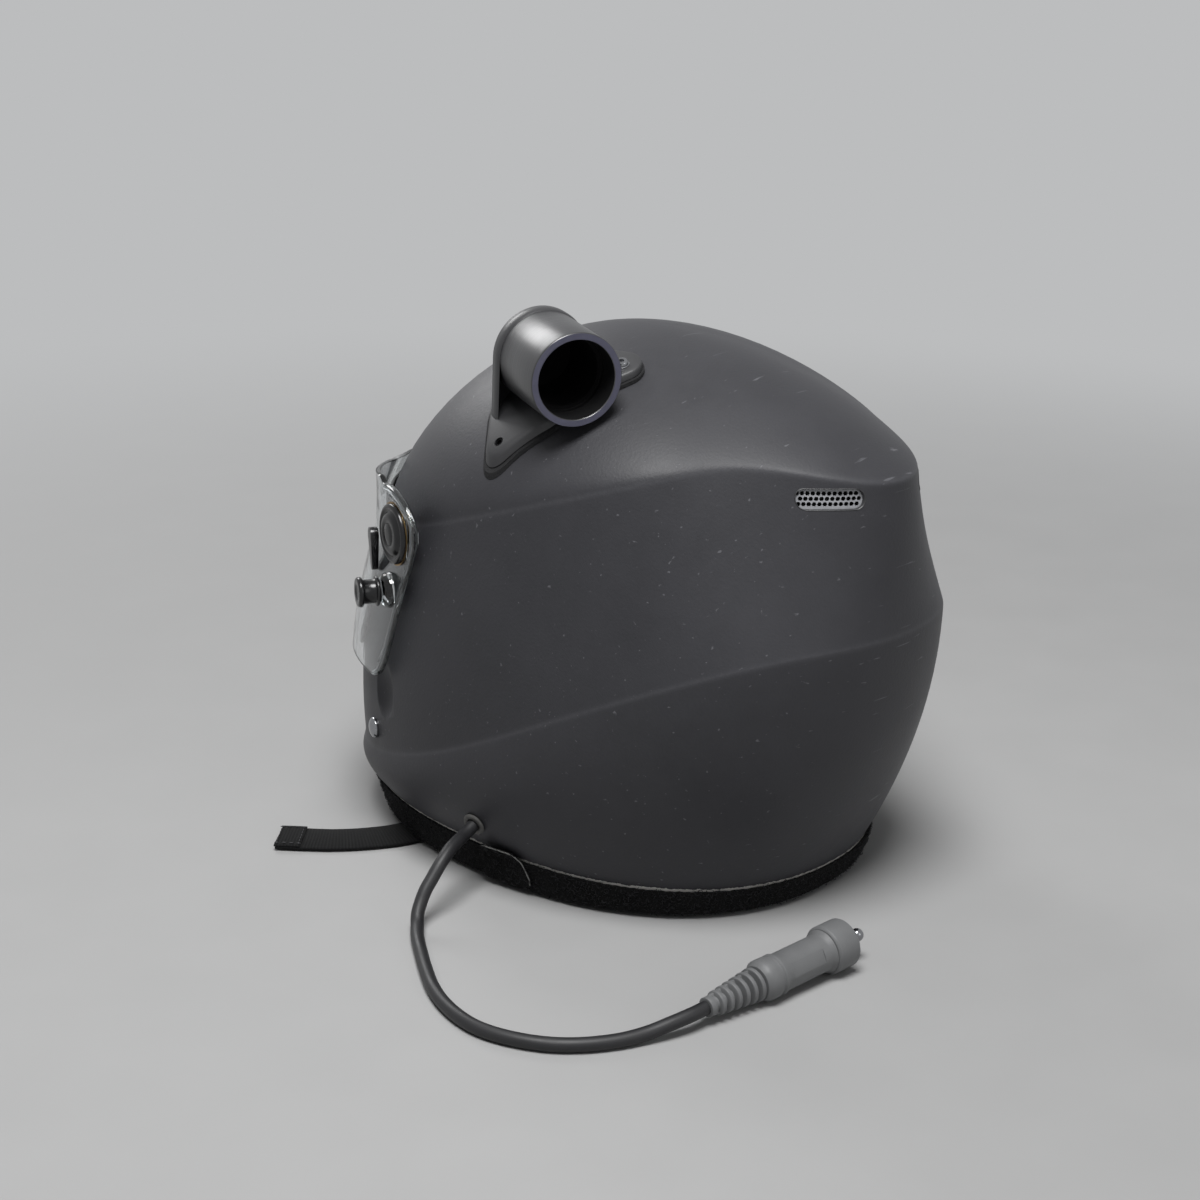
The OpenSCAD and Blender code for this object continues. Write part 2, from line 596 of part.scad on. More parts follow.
// Route of the lead's middle, from the grommet down to the floor and round to the plug
cord_route = [[121.5, 2.5, 34.6], [126, 3, 33], [131, 4.2, 32], [136.5, 6.2, 31.8], [142, 8, 31], [147, 9.5, 29],
  [152, 10.5, 26], [157, 11, 21.5], [162, 11.5, 17], [166, 12.5, 12.5], [170, 14.5, 8.5], [174, 18.5, 5.2],
  [180, 25, 3.6], [189, 37, 3.4], [199, 51, 3.4], [208, 65, 3.4], [214.5, 79, 3.4], [218.5, 94, 3.4],
  [219, 108, 3.4], [215, 123, 3.4], [207.5, 137, 3.4], [197, 148, 3.4], [184.5, 156.5, 3.6],
  [173, 162, 4.6], [163, 166.5, 6.8], [153.5, 169.4, 8.1], [144.5, 170.5, 8.5]];
cord_sides = 10;
// Points of a smooth curve through the route, two to a stretch
function curve_point(p0, p1, p2, p3, t) =
  p1 + 0.5 * t * (p2 - p0 + t * (2 * p0 - 5 * p1 + 4 * p2 - p3 + t * (3 * (p1 - p2) + p3 - p0)));
function curve(pts, parts) = let (n = len(pts)) concat(
  [for (i = [0:n - 2], k = [0:parts - 1])
    curve_point(pts[max(i - 1, 0)], pts[i], pts[i + 1], pts[min(i + 2, n - 1)], k / parts)], [pts[n - 1]]);
function tube_ring(p, t, r, sides) =
  let (s = unit(cross(t, [0, 0, 1])), u = cross(s, t))
  [for (i = [0:sides - 1]) p + r * (cos(360 * i / sides) * s + sin(360 * i / sides) * u)];
module tube(pts, r, sides) {
  skin([for (i = [0:len(pts) - 1]) tube_ring(pts[i], tangent(pts, i), r, sides)]);
}
module cord_grommet() {
  p = on_shell(grommet_spot[0], grommet_spot[1]);
  color(foam_black) aim_along(p, grommet_dir) difference() {
    union() {
      translate([0, 0, -shell_wall]) cylinder(h = shell_wall + 1.5, r = grommet_neck_r);
      translate([0, 0, 1]) cylinder(h = 1.4, r = grommet_neck_r + 1.6);
    }
    translate([0, 0, -shell_wall - 2]) cylinder(h = shell_wall + 6, r = cord_d / 2 + fit);
  }
}
module radio_cord() {
  color("#2b2b2d") tube(curve(cord_route, 2), cord_d / 2, cord_sides);
}

// Plug: its axis starts at the lead's end
plug_at = cord_route[len(cord_route) - 1];
plug_heading = 173;
plug_rise = 2.4;
relief_len = 31;
collar_end = 44;
grip_end = 70;
head_start = 74;
head_end = 88;
tip_end = 98;
tip_seat_r = plug_tip_d / 2 - 0.6;
module on_plug() {
  aim(plug_at, plug_heading, plug_rise) children();
}
module strain_relief() {
  tail_r = cord_d / 2 + 1.3;
  ring_count = 7;
  pitch = relief_len / ring_count;
  color(rubber_grey) on_plug() difference() {
    union() {
      rotate_extrude() polygon(concat([[0, 0.3]], [for (i = [0:ring_count - 1], k = [0, 1])
        [mix(tail_r, plug_grip_d / 2 - 1.6, (i + k * 0.55) / ring_count), 0.3 + (i + k * 0.55) * pitch]],
        [[0, 0.3 + (ring_count - 0.45) * pitch]]));
      translate([0, 0, 0.3]) cylinder(h = relief_len - 0.3, r = tail_r);
    }
    for (i = [0:ring_count - 2], turn = [0, 90]) rotate([0, 0, turn + 90 * (i % 2)])
      translate([tail_r + 0.4 * i, -6, 0.3 + (i + 0.62) * pitch]) cube([8, 12, pitch * 0.3]);
  }
}
module plug_body() {
  color(rubber_grey) on_plug() difference() {
    rotate_extrude() polygon([[0, relief_len + gap], [plug_grip_d / 2 - 1, relief_len + gap],
      [plug_collar_d / 2 - 0.6, relief_len + 2], [plug_collar_d / 2, relief_len + 3],
      [plug_collar_d / 2, collar_end - 5], [plug_collar_d / 2 - 0.8, collar_end - 4.4],
      [plug_collar_d / 2 - 0.8, collar_end - 3], [plug_collar_d / 2, collar_end - 2.4],
      [plug_collar_d / 2, collar_end - 1], [plug_grip_d / 2, collar_end],
      [plug_grip_d / 2, grip_end], [plug_grip_d / 2 + 1.4, head_start - gap], [0, head_start - gap]]);
    for (turn = [0, 180]) rotate([0, 0, turn]) translate([plug_grip_d / 2 - 0.6, -4.5, collar_end + 3])
      cube([4, 9, grip_end - collar_end - 5]);
  }
}
module plug_head() {
  r = plug_head_d / 2;
  color(rubber_grey) on_plug() difference() {
    rotate_extrude() polygon([[0, head_start], [r - 1, head_start], [r, head_start + 1],
      [r, head_end - 1.2], [r - 1.2, head_end], [0, head_end]]);
    translate([0, 0, head_end - 6]) cylinder(h = 10, r = tip_seat_r + fit);
  }
}
module plug_tip() {
  r = plug_tip_d / 2;
  color(chrome) on_plug() rotate_extrude() polygon(concat(
    [[0, head_end - 5.8], [tip_seat_r, head_end - 5.8], [tip_seat_r, head_end + 0.6], [r, head_end + 0.6],
      [r, tip_end - 3.4], [r - 0.9, tip_end - 2.8]],
    [for (i = [0:8]) [r * cos(90 * i / 8) * 0.92, tip_end - 2.4 + 2.4 * sin(90 * i / 8)]]));
}

// Padding

brow_z = port_high + 11;
ear_z = 165;
nape_z = 60;
function liner_edge(a) = let (b = 180 - off_rear(a))
  brow_z - (brow_z - ear_z) * smooth((b - 70) / 12) - (ear_z - nape_z) * smooth((b - 95) / 50);
eps_off = shell_wall + liner_gap;
head_top = crown_h - 29;
head_mid_z = 150;
// The hollow for the head: an ellipsoid over straight sides
function head_r(a, z, off) =
  let (q = min(1, max(0, z - head_mid_z) / (head_top - off - head_mid_z)))
  (plan(118, 92, 116, 2, 2, a) - off) * sqrt(1 - q * q);
function head_ring(off, k, rows, edge, depth) = k == 0 ? [[0, 0, head_top - off]] :
  [for (j = [0:liner_cols - 1]) let (a = 360 * j / liner_cols,
    z = mix(edge(a), head_top - off, cos(90 * k / rows)))
    polar(head_r(a, z, off + depth(a, z)), a, z)];
function eps_ring(k, rows) = k == 0 ? [[0, 0, crown_h - eps_off]] :
  [for (j = [0:liner_cols - 1]) let (a = 360 * j / liner_cols,
    z = mix(liner_edge(a), crown_h - eps_off, cos(90 * k / rows)))
    on_shell(a, z, eps_off)];

module eps_liner() {
  color(foam_black) difference() {
    skin(concat([for (k = [0:12]) eps_ring(k, 12)],
      [for (k = [10:-1:0]) head_ring(0, k, 10, function (a) liner_edge(a), function (a, z) 0)]));
    duct_cut(seat_r + gap + 1);
    screw_cut(5.5);
    both_sides() port(vent, -3, -4, shell_wall + 14);
    both_sides() translate([0, -pivot_fwd, pivot_z]) rotate([0, 90, 0]) cylinder(h = 200, r = nut_r + 2);
  }
}
// The comfort liner has channels between its pads
module comfort_liner() {
  function channel(a) = 0.35 * pad_t * pow(abs(cos(a * 3)), 6);
  color(foam_grey) skin(concat(
    [for (k = [0:10]) head_ring(gap, k, 10, function (a) liner_edge(a), function (a, z) 0)],
    [for (k = [10:-1:0]) head_ring(pad_t, k, 10, function (a) liner_edge(a),
      function (a, z) -channel(a) * smooth((head_top - pad_t - z) / 30))]), crossed = true);
}
chin_foam_t = 16;
chin_foam_off = eps_off + 0.4;
module chin_bar_foam() {
  color(foam_black) panel([for (a = [-60:5:60]) a], 6,
    function (a) 30, function (a) port_low - 9,
    function (a, z) chin_foam_off, function (a, z) chin_foam_off + chin_foam_t);
}
cheek_from = 62;
cheek_to = 112;
cheek_low = 40;
cheek_high = 118;
cheek_off = shell_wall + 1.3;
module cheek_pad(left) {
  // Crown of the pad: full in the middle and drawn in towards its edges
  function crown(a, z) = 1 - 0.45 * pow(abs(2 * (a - cheek_from) / (cheek_to - cheek_from) - 1), 3)
    - 0.25 * pow(abs(2 * (z - cheek_low) / (cheek_high - cheek_low) - 1), 4);
  color(foam_grey) sides(left) panel([for (i = [0:8]) mix(cheek_from, cheek_to, i / 8)], 6,
    function (a) cheek_low, function (a) cheek_high,
    function (a, z) cheek_off, function (a, z) cheek_off + cheek_t * crown(a, z));
}
module cheek_pad_left() { cheek_pad(true); }
module cheek_pad_right() { cheek_pad(false); }

roll_from = 66;
module neck_roll() {
  // Section of the roll: flat on the floor and against the shell, round towards the neck
  section = concat([[0, 0], [0, roll_h]], [for (i = [1:6]) let (t = 180 * i / 7)
    [roll_t * (0.45 + 0.55 * sin(t)), roll_h / 2 + roll_h / 2 * cos(t)]], [[roll_t * 0.45, 0]]);
  pts = len(section) % 2 == 0 ? section : concat(section, [[roll_t * 0.2, 0]]);
  color(foam_grey) skin([for (i = [0:32]) let (a = mix(roll_from, 360 - roll_from, i / 32),
    full = 1 - 0.5 * pow(abs(i / 16 - 1), 10))
    [for (p = pts) polar(rim_r(a) - shell_wall - gap - 0.2 - p[0] * full, a, p[1])]]);
}

// Chin strap

anchor_spot = [76, 34];
anchor_lean = 87;
module strap_anchor(left) {
  p = on_shell(anchor_spot[0], anchor_spot[1], shell_wall + 2.7);
  color(chrome) sides(left) aim_along(p, [sin(anchor_lean), -cos(anchor_lean), -0.54]) {
    translate([-6, -11, 0]) cube([12, 22, 1.4]);
    translate([0, 0, -2.2]) cylinder(h = 2.2, r = 3);
  }
}
module strap_anchor_left() { strap_anchor(true); }
module strap_anchor_right() { strap_anchor(false); }

// Stations of the strap: a point and the direction of its width
long_route = [
  [[-109.3, -27, 36], [0, 1, 0]], [[-105, -27, 30], [0, 1, 0]], [[-97, -27, 27], [0, 1, 0]],
  [[-86, -28, 26], [0, 1, 0]], [[-78, -30, 24], [0.1, 1, 0]], [[-73, -32, 17], [0.2, 1, 0]],
  [[-69, -34, 9], [0.3, 1, 0]], [[-62, -37, 3], [0.3, 1, 0]], [[-50, -41, 1.4], [0.3, 1, 0]],
  [[-20, -48, 1.4], [0.25, 1, 0]], [[20, -54, 1.4], [0.15, 1, 0]], [[60, -58, 1.4], [0.2, 1, 0]],
  [[100, -68, 1.4], [0.4, 0.9, 0]], [[118, -77, 1.4], [0.55, 0.83, 0]], [[132, -88, 1.4], [0.66, 0.75, 0]],
  [[142, -99, 1.5], [0.73, 0.68, 0]], [[151.5, -110.5, 1.8], [0.77, 0.64, 0]]];
short_route = [
  [[109.3, -27, 36], [0, 1, 0]], [[105, -27, 30], [0, 1, 0]], [[97, -27, 27], [0, 1, 0]],
  [[86, -27, 26.5], [0, 1, 0]], [[75.5, -27, 26.3], [0, 1, 0]]];
module webbing(route) {
  pts = [for (s = route) s[0]];
  skin([for (i = [0:len(route) - 1]) band_ring(pts[i], tangent(pts, i), route[i][1], web_w, web_t)]);
}
module chin_strap_long() {
  color(gloss_black) webbing(long_route);
}
ring_z = 25;
ring_x = [72, 65];
ring_y = -27;
sleeve_r = 2.9;
module chin_strap_short() {
  color(gloss_black) {
    webbing(short_route);
    difference() {
      union() {
        for (x = ring_x) translate([x, ring_y - web_w / 2 + 1, ring_z]) rotate([-90, 0, 0])
          cylinder(h = web_w - 2, r = sleeve_r);
        translate([ring_x[1], ring_y - web_w / 2 + 1, ring_z - 0.8]) cube([ring_x[0] - ring_x[1] + 4, web_w - 2, 1.6]);
      }
      for (x = ring_x) translate([x, ring_y - web_w, ring_z]) rotate([-90, 0, 0])
        cylinder(h = web_w * 2, r = ring_wire_r + fit);
    }
  }
}
module d_ring(x) {
  bend = web_w / 2 + 1.2;
  color(chrome) translate([x, ring_y, ring_z]) rotate([90, 0, 90]) {
    rotate([0, 90, 0]) translate([0, 0, -bend]) cylinder(h = bend * 2, r = ring_wire_r);
    rotate([0, 0, 180]) rotate_extrude(angle = 180) translate([bend, 0]) circle(r = ring_wire_r, $fn = 24);
    for (s = [-1, 1]) translate([s * bend, 0, 0]) sphere(r = ring_wire_r, $fn = 24);
  }
}
module d_ring_outer() { d_ring(ring_x[0]); }
module d_ring_inner() { d_ring(ring_x[1]); }

// Ear speakers and microphone

speaker_r = 18;
speaker_z = 140;
module ear_speaker(left) {
  x = shell_r(88, speaker_z) - shell_wall + 0.4;
  color(foam_black) sides(left) translate([x, -4, speaker_z]) rotate([0, -90, 0]) rotate_extrude() polygon([
    [0, 3], [speaker_r - 3, 3], [speaker_r, 5], [speaker_r, 11], [speaker_r - 2, 13], [speaker_r - 5, 13],
    [speaker_r - 6, 12], [0, 12]]);
}
module ear_speaker_left() { ear_speaker(true); }
module ear_speaker_right() { ear_speaker(false); }

boom_r = 2;
boom_route = [[88, -66, 80], [74, -80, 83], [56, -94, 85], [36, -105, 86], [20, -110, 86]];
module mic_boom() {
  foot = boom_route[0];
  color(gloss_black) {
    tube(curve(boom_route, 2), boom_r, 8);
    aim_along(foot, [0.8, -0.6, 0]) translate([0, 0, -3]) cylinder(h = 6, r = 8);
  }
}
module mic_capsule() {
  color(foam_black) translate([10.2, -110.3, 86]) rotate([0, 90, 0]) rotate_extrude() polygon([
    [0, -11], [6, -11], [8.5, -8], [9, -2], [8.5, 6], [6, 9], [0, 9]]);
}

outer_shell();
eyeport_gasket();
rim_loop_tape();
tape_flap();
vent_mesh_left();
vent_mesh_right();
inlet_seal();
inlet_cowl();
air_nozzle();
inlet_screws();
pivot_base_left();
pivot_base_right();
face_shield();
pivot_cap_left();
pivot_cap_right();
tearoff_post_left();
tearoff_post_right();
shield_lever();
chin_screws();
cord_grommet();
radio_cord();
strain_relief();
plug_body();
plug_head();
plug_tip();
eps_liner();
comfort_liner();
chin_bar_foam();
cheek_pad_left();
cheek_pad_right();
neck_roll();
strap_anchor_left();
strap_anchor_right();
chin_strap_long();
chin_strap_short();
d_ring_outer();
d_ring_inner();
ear_speaker_left();
ear_speaker_right();
mic_boom();
mic_capsule();
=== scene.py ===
# %% [markdown]
# # A racing helmet with an air inlet and a radio lead
# The helmet is a moulded composite shell with a matte finish, dressed with rubber, tape, clear
# plastic and padding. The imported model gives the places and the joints. This script makes what the
# eye sees: smooth surfaces, soft edges, fabric and wear. Lengths are in millimetres until a mesh
# is made.

# %% Frame
import math

import bmesh
import bpy
import numpy as np
from mathutils import Matrix, Vector


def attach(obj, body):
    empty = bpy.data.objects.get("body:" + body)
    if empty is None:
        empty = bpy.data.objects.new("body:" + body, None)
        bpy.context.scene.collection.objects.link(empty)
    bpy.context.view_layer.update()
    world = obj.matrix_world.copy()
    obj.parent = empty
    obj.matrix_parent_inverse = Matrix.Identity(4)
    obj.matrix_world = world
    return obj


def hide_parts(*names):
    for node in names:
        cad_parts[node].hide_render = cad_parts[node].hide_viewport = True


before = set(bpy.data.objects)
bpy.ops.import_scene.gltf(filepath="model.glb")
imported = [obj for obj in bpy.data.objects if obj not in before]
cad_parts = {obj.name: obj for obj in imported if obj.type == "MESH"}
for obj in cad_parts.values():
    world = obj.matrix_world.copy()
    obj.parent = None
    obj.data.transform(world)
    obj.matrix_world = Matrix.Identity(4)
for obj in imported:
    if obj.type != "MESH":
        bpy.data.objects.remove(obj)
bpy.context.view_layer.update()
MM = 0.001
SIDES = (("left", 1), ("right", -1))
scene = bpy.context.scene
scene.view_settings.view_transform = "Standard"
print("parts in the frame:", len(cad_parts))


def linked(name, data):
    """A new object in the scene."""
    obj = bpy.data.objects.new(name, data)
    scene.collection.objects.link(obj)
    return obj


# %% [markdown]
# The camera comes first. It stands behind the helmet on the wearer's left, a little above it, and
# is turned by about a degree about its own axis, as the photograph was.

# %% Camera
CAMERA_AZIMUTH, CAMERA_RISE, CAMERA_ROLL = 131.8, 18.0, 1.1
CAMERA_DISTANCE = 1076.4
CAMERA_TARGET = (11.3, -15.0, 122.2)
FOCAL_PIXELS, FRAME_PIXELS = 2062, 1200


def heading(azimuth, rise):
    a, e = math.radians(azimuth), math.radians(rise)
    return Vector((math.sin(a) * math.cos(e), -math.cos(a) * math.cos(e), math.sin(e)))


back = heading(CAMERA_AZIMUTH, CAMERA_RISE)
right = (-back).cross(Vector((0, 0, 1))).normalized()
up = back.cross(right)
roll = math.radians(CAMERA_ROLL)
lens = bpy.data.cameras.new("Camera")
lens.lens = lens.sensor_width * FOCAL_PIXELS / FRAME_PIXELS
camera = linked("Camera", lens)
stand = Matrix.Translation((Vector(CAMERA_TARGET) + back * CAMERA_DISTANCE) * MM)
camera.matrix_world = stand @ Matrix((
    right * math.cos(roll) + up * math.sin(roll),
    up * math.cos(roll) - right * math.sin(roll),
    back)).transposed().to_4x4()
scene.camera = camera
print("camera at", [round(c, 4) for c in camera.location])

# %% [markdown]
# Most pieces are skins: rows of points, joined by four-sided faces and closed at their ends. A
# turned piece is a profile spun about an axis. Both end in the same finishing step, which points
# the faces outwards, marks the sharp edges and gives the piece its material and body.


# %% Mesh helpers
def skin(rows, looped=False, capped=True):
    """Points, faces and the grid place of each face corner, from rows of closed rings."""
    rows = np.asarray(rows, float)
    m, n = rows.shape[:2]
    faces, places = [], []
    for i in range(m if looped else m - 1):
        for j in range(n):
            k, l = (i + 1) % m, (j + 1) % n
            faces.append((i * n + j, i * n + l, k * n + l, k * n + j))
            places.append(((i, j), (i, j + 1), (i + 1, j + 1), (i + 1, j)))
    if capped and not looped:
        for i in (0, m - 1):
            faces.append(tuple(range(i * n, i * n + n)))
            places.append(tuple((i, j) for j in range(n)))
    return rows.reshape(-1, 3), faces, places


def thing(name, points, faces, places=None, uv=None):
    """An object from points in millimetres. uv(row, column) gives its map in metres."""
    mesh = bpy.data.meshes.new(name)
    mesh.from_pydata((np.asarray(points, float) * MM).tolist(), [], faces)
    if uv:
        layer = mesh.uv_layers.new(name="UVMap")
        layer.data.foreach_set("uv", [c for place in places for i, j in place for c in uv(i, j)])
    return linked(name, mesh)


def skinned(name, rows, looped=False, uv=None):
    points, faces, places = skin(rows, looped)
    return thing(name, points, faces, places, uv)


WELD = 2e-6


def settle(obj, sharp):
    """Faces outwards, smooth shading, and hard edges at corners of more than sharp degrees."""
    work = bmesh.new()
    work.from_mesh(obj.data)
    bmesh.ops.remove_doubles(work, verts=work.verts, dist=WELD)
    bmesh.ops.dissolve_degenerate(work, edges=work.edges, dist=WELD / 2)
    bmesh.ops.recalc_face_normals(work, faces=work.faces)
    for face in work.faces:
        face.smooth = True
    for edge in work.edges:
        edge.smooth = len(edge.link_faces) != 2 or edge.calc_face_angle(0) < math.radians(sharp)
    work.to_mesh(obj.data)
    work.free()


def applied(obj):
    """The object's mesh with its modifiers in it."""
    evaluated = obj.evaluated_get(bpy.context.evaluated_depsgraph_get())
    mesh = bpy.data.meshes.new_from_object(evaluated)
    obj.modifiers.clear()
    obj.data = mesh
    return obj


BEVELLED_SHARP = 50


def finish(obj, finish_material, body="helmet", replaces=(), bevel=0, sharp=35):
    """Softens the edges if asked, then gives the piece its material, body and CAD nodes."""
    settle(obj, sharp)
    if bevel:
        edge = obj.modifiers.new("Edges", "BEVEL")
        edge.width, edge.segments, edge.limit_method = bevel * MM, 2, "ANGLE"
        edge.angle_limit = math.radians(sharp)
        applied(obj)
        settle(obj, BEVELLED_SHARP)
    obj.data.materials.clear()
    obj.data.materials.append(finish_material)
    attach(obj, body)
    if replaces:
        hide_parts(*replaces)
    return obj


def basis(axis):
    """An axis and two directions square to it, each one unit long."""
    axis = Vector(axis).normalized()
    side = axis.cross(Vector((0, 0, 1)) if abs(axis.z) < 0.9 else Vector((1, 0, 0))).normalized()
    return np.array(axis), np.array(side), np.array(axis.cross(side))


def circle(centre, side, other, radius, steps):
    """A ring of points round a centre, in the plane of two directions."""
    return [centre + radius * (side * math.cos(t) + other * math.sin(t))
            for t in np.linspace(0, 2 * math.pi, steps, endpoint=False)]


def turned(name, profile, at, axis, sides=72):
    """A profile of (radius, height) points spun about an axis."""
    axis, side, other = basis(axis)
    return skinned(name, [circle(np.array(at) + axis * h, side, other, max(r, 1e-3), sides)
                          for r, h in profile])


def run_along(points):
    """How far along a line each of its points is."""
    return np.concatenate([[0], np.cumsum(np.linalg.norm(np.diff(points, axis=0), axis=1))])


def frames(path):
    """A pair of cross directions at each point of a path, which don't twist along it."""
    along = np.gradient(np.asarray(path, float), axis=0)
    along /= np.linalg.norm(along, axis=1)[:, None]
    side = basis(along[0])[1]
    out = []
    for t in along:
        side = side - t * (side @ t)
        side = side / np.linalg.norm(side)
        out.append((side, np.cross(t, side)))
    return out


def smooth_path(points, parts):
    """A smooth curve through the points, with some parts between each two."""
    p = np.asarray(points, float)
    p = np.vstack([p[:1], p, p[-1:]])
    out = []
    for a, b, c, d in zip(p, p[1:], p[2:], p[3:]):
        for t in np.arange(parts) / parts:
            out.append(b + 0.5 * t * (c - a + t * (2 * a - 5 * b + 4 * c - d
                                                   + t * (3 * (b - c) + d - a))))
    return np.array(out + [p[-2]])


def tube(name, path, radius, sides=16):
    """A round tube along a path. Its map runs along it and round it, in metres."""
    rows = [circle(p, side, other, radius, sides) for p, (side, other) in zip(path, frames(path))]
    run = run_along(path) * MM
    return skinned(name, rows, uv=lambda i, j: (run[i], j * 2 * math.pi * radius * MM / sides))


# %% [markdown]
# ## Finishes
# Each finish starts from what the surface really is. Colours are written as sRGB hex values, and
# one function turns them to linear light. Patterns read object coordinates, in metres, so a pattern
# of one millimetre has a scale of a thousand.


# %% Finish helpers
def colour(code):
    parts = [int(code[i:i + 2], 16) / 255 for i in (1, 3, 5)]
    return tuple(c / 12.92 if c <= 0.04045 else ((c + 0.055) / 1.055) ** 2.4 for c in parts) + (1.0,)


def feed(tree, node, inputs):
    """Gives a node its inputs: values, sockets, or nodes that stand for their first live output."""
    for name, value in dict(inputs).items():
        if isinstance(value, bpy.types.Node):
            value = next(socket for socket in value.outputs if socket.enabled)
        if isinstance(value, bpy.types.NodeSocket):
            tree.links.new(value, node.inputs[name])
        else:
            node.inputs[name].default_value = value
    return node


def add(tree, kind, inputs=(), **settings):
    """Adds a node with its settings and its inputs."""
    made = tree.nodes.new(kind)
    for name, value in settings.items():
        setattr(made, name, value)
    return feed(tree, made, inputs)


def surface(name, coordinates="Object", **values):
    """A material with its shader's plain values set, and the coordinates that its patterns read."""
    material = bpy.data.materials.new(name)
    material.use_nodes = True
    tree = material.node_tree
    shader = tree.nodes["Principled BSDF"]
    for key, value in values.items():
        shader.inputs[key.replace("_", " ")].default_value = value
    return material, tree, shader, add(tree, "ShaderNodeTexCoord").outputs[coordinates]


def patterned(tree, shader, pattern, low, high, grain, depth, rough=None):
    """Two colours by one pattern, relief by another, and roughness between two values if given."""
    tone = add(tree, "ShaderNodeMix", {0: pattern, 6: colour(low), 7: colour(high)}, data_type="RGBA")
    relief = add(tree, "ShaderNodeBump", {"Height": grain, "Distance": depth * MM, "Strength": 1.0})
    feed(tree, shader, {"Base Color": tone, "Normal": relief})
    if rough:
        between = add(tree, "ShaderNodeMapRange", {"Value": pattern, "From Min": 0.3, "From Max": 0.7,
                                                   "To Min": rough[0], "To Max": rough[1]})
        feed(tree, shader, {"Roughness": between})
    return tone


def grained(name, low, high, roughness, grain, depth, patch=25, **values):
    """A moulded or foamed surface: two colours in soft patches, and a fine grain in relief."""
    material, tree, shader, place = surface(name, **values)
    patches = add(tree, "ShaderNodeTexNoise", {"Vector": place, "Scale": 1000 / patch, "Detail": 4.0})
    grains = add(tree, "ShaderNodeTexNoise", {"Vector": place, "Scale": 1000 / grain, "Detail": 3.0})
    patterned(tree, shader, patches, low, high, grains, depth, (roughness - 0.06, roughness + 0.06))
    return material


# %% [markdown]
# The shell is a composite moulding under matte lacquer. Matte lacquer scatters light evenly and
# shows a fine orange peel, a few pale scratches and dust. Where the tape's upper edge rubs, the
# lacquer is worn through to a pale, broken line. The shell's map gives the height over the band,
# so the line stays on the edge all the way round.

# %% Shell lacquer
lacquer, tree, shader, spot = surface("Matte lacquered composite", Specular_IOR_Level=0.3)
patches = add(tree, "ShaderNodeTexNoise", {
    "Vector": spot, "Scale": 16.0, "Detail": 12.0, "Roughness": 0.72})
peel = add(tree, "ShaderNodeTexNoise", {"Vector": spot, "Scale": 700.0, "Detail": 3.0})
tone = patterned(tree, shader, patches, "#2d2d30", "#404044", peel, 0.09, (0.42, 0.54))
# Scratches are noise drawn out some fifty times along one direction
drawn_out = add(tree, "ShaderNodeMapping", {
    "Vector": spot, "Rotation": (0.4, 0.9, 0.5), "Scale": (9, 420, 420)})
scratches = add(tree, "ShaderNodeTexNoise", {"Vector": drawn_out, "Scale": 1.0, "Detail": 2.0})
scratch = add(tree, "ShaderNodeMapRange", {"Value": scratches, "From Min": 0.7, "From Max": 0.76})
# Dust is the middle of a few cells of nine millimetres
dots = add(tree, "ShaderNodeTexVoronoi", {"Vector": spot, "Scale": 110.0}).outputs
dust = add(tree, "ShaderNodeMapRange", {
    "Value": dots["Distance"], "From Min": 0.035, "From Max": 0.02})
rare = add(tree, "ShaderNodeMapRange", {"Value": dots["Color"], "From Min": 0.9, "From Max": 0.92})
dust = add(tree, "ShaderNodeMath", {0: dust, 1: rare}, operation="MULTIPLY")
marks = add(tree, "ShaderNodeMath", {0: scratch, 1: dust}, operation="MAXIMUM")
marked = add(tree, "ShaderNodeMix", {0: marks, 6: tone, 7: colour("#5c5c60")}, data_type="RGBA")

# %% Wear of the lacquer
# The worn line lies within a millimetre of the tape's edge, thinner here and there
over_tape = add(tree, "ShaderNodeSeparateXYZ", {"Vector": spot.node.outputs["UV"]}).outputs["Y"]
ragged = add(tree, "ShaderNodeTexNoise", {
    "Vector": spot, "Scale": 300.0, "Detail": 6.0, "Roughness": 0.75})
edge_h = add(tree, "ShaderNodeMath", {0: ragged, 1: 0.0036, 2: -0.0013}, operation="MULTIPLY_ADD")
below = add(tree, "ShaderNodeMath", {0: over_tape, 1: edge_h}, operation="LESS_THAN")
above = add(tree, "ShaderNodeMath", {0: over_tape, 1: -0.0012}, operation="GREATER_THAN")
by_edge = add(tree, "ShaderNodeMath", {0: below, 1: above}, operation="MULTIPLY")
height = add(tree, "ShaderNodeSeparateXYZ", {"Vector": spot}).outputs["Z"]
low_down = add(tree, "ShaderNodeMath", {0: height, 1: 0.034}, operation="LESS_THAN")
worn = add(tree, "ShaderNodeMath", {0: by_edge, 1: low_down}, operation="MULTIPLY")
worn_tone = add(tree, "ShaderNodeMix", {0: worn, 6: marked, 7: colour("#dcdad5")}, data_type="RGBA")
# The creases are painted a lighter grey along their line, broken up by the ragged noise
crease = add(tree, "ShaderNodeAttribute", attribute_name="crease").outputs["Fac"]
crease_lightening = add(tree, "ShaderNodeMath", {0: crease, 1: ragged}, operation="MULTIPLY")
shell_tone = add(tree, "ShaderNodeMix", {
    0: crease_lightening, 6: worn_tone, 7: colour("#57575b")}, data_type="RGBA")
feed(tree, shader, {"Base Color": shell_tone})

# %% [markdown]
# The plastics and rubbers are moulded, so they have soft patches of tone and a fine grain. The
# hose spigot was turned, and shows rings round its axis. Polycarbonate is clear, with an index of
# about 1.58, and its edges gather light.

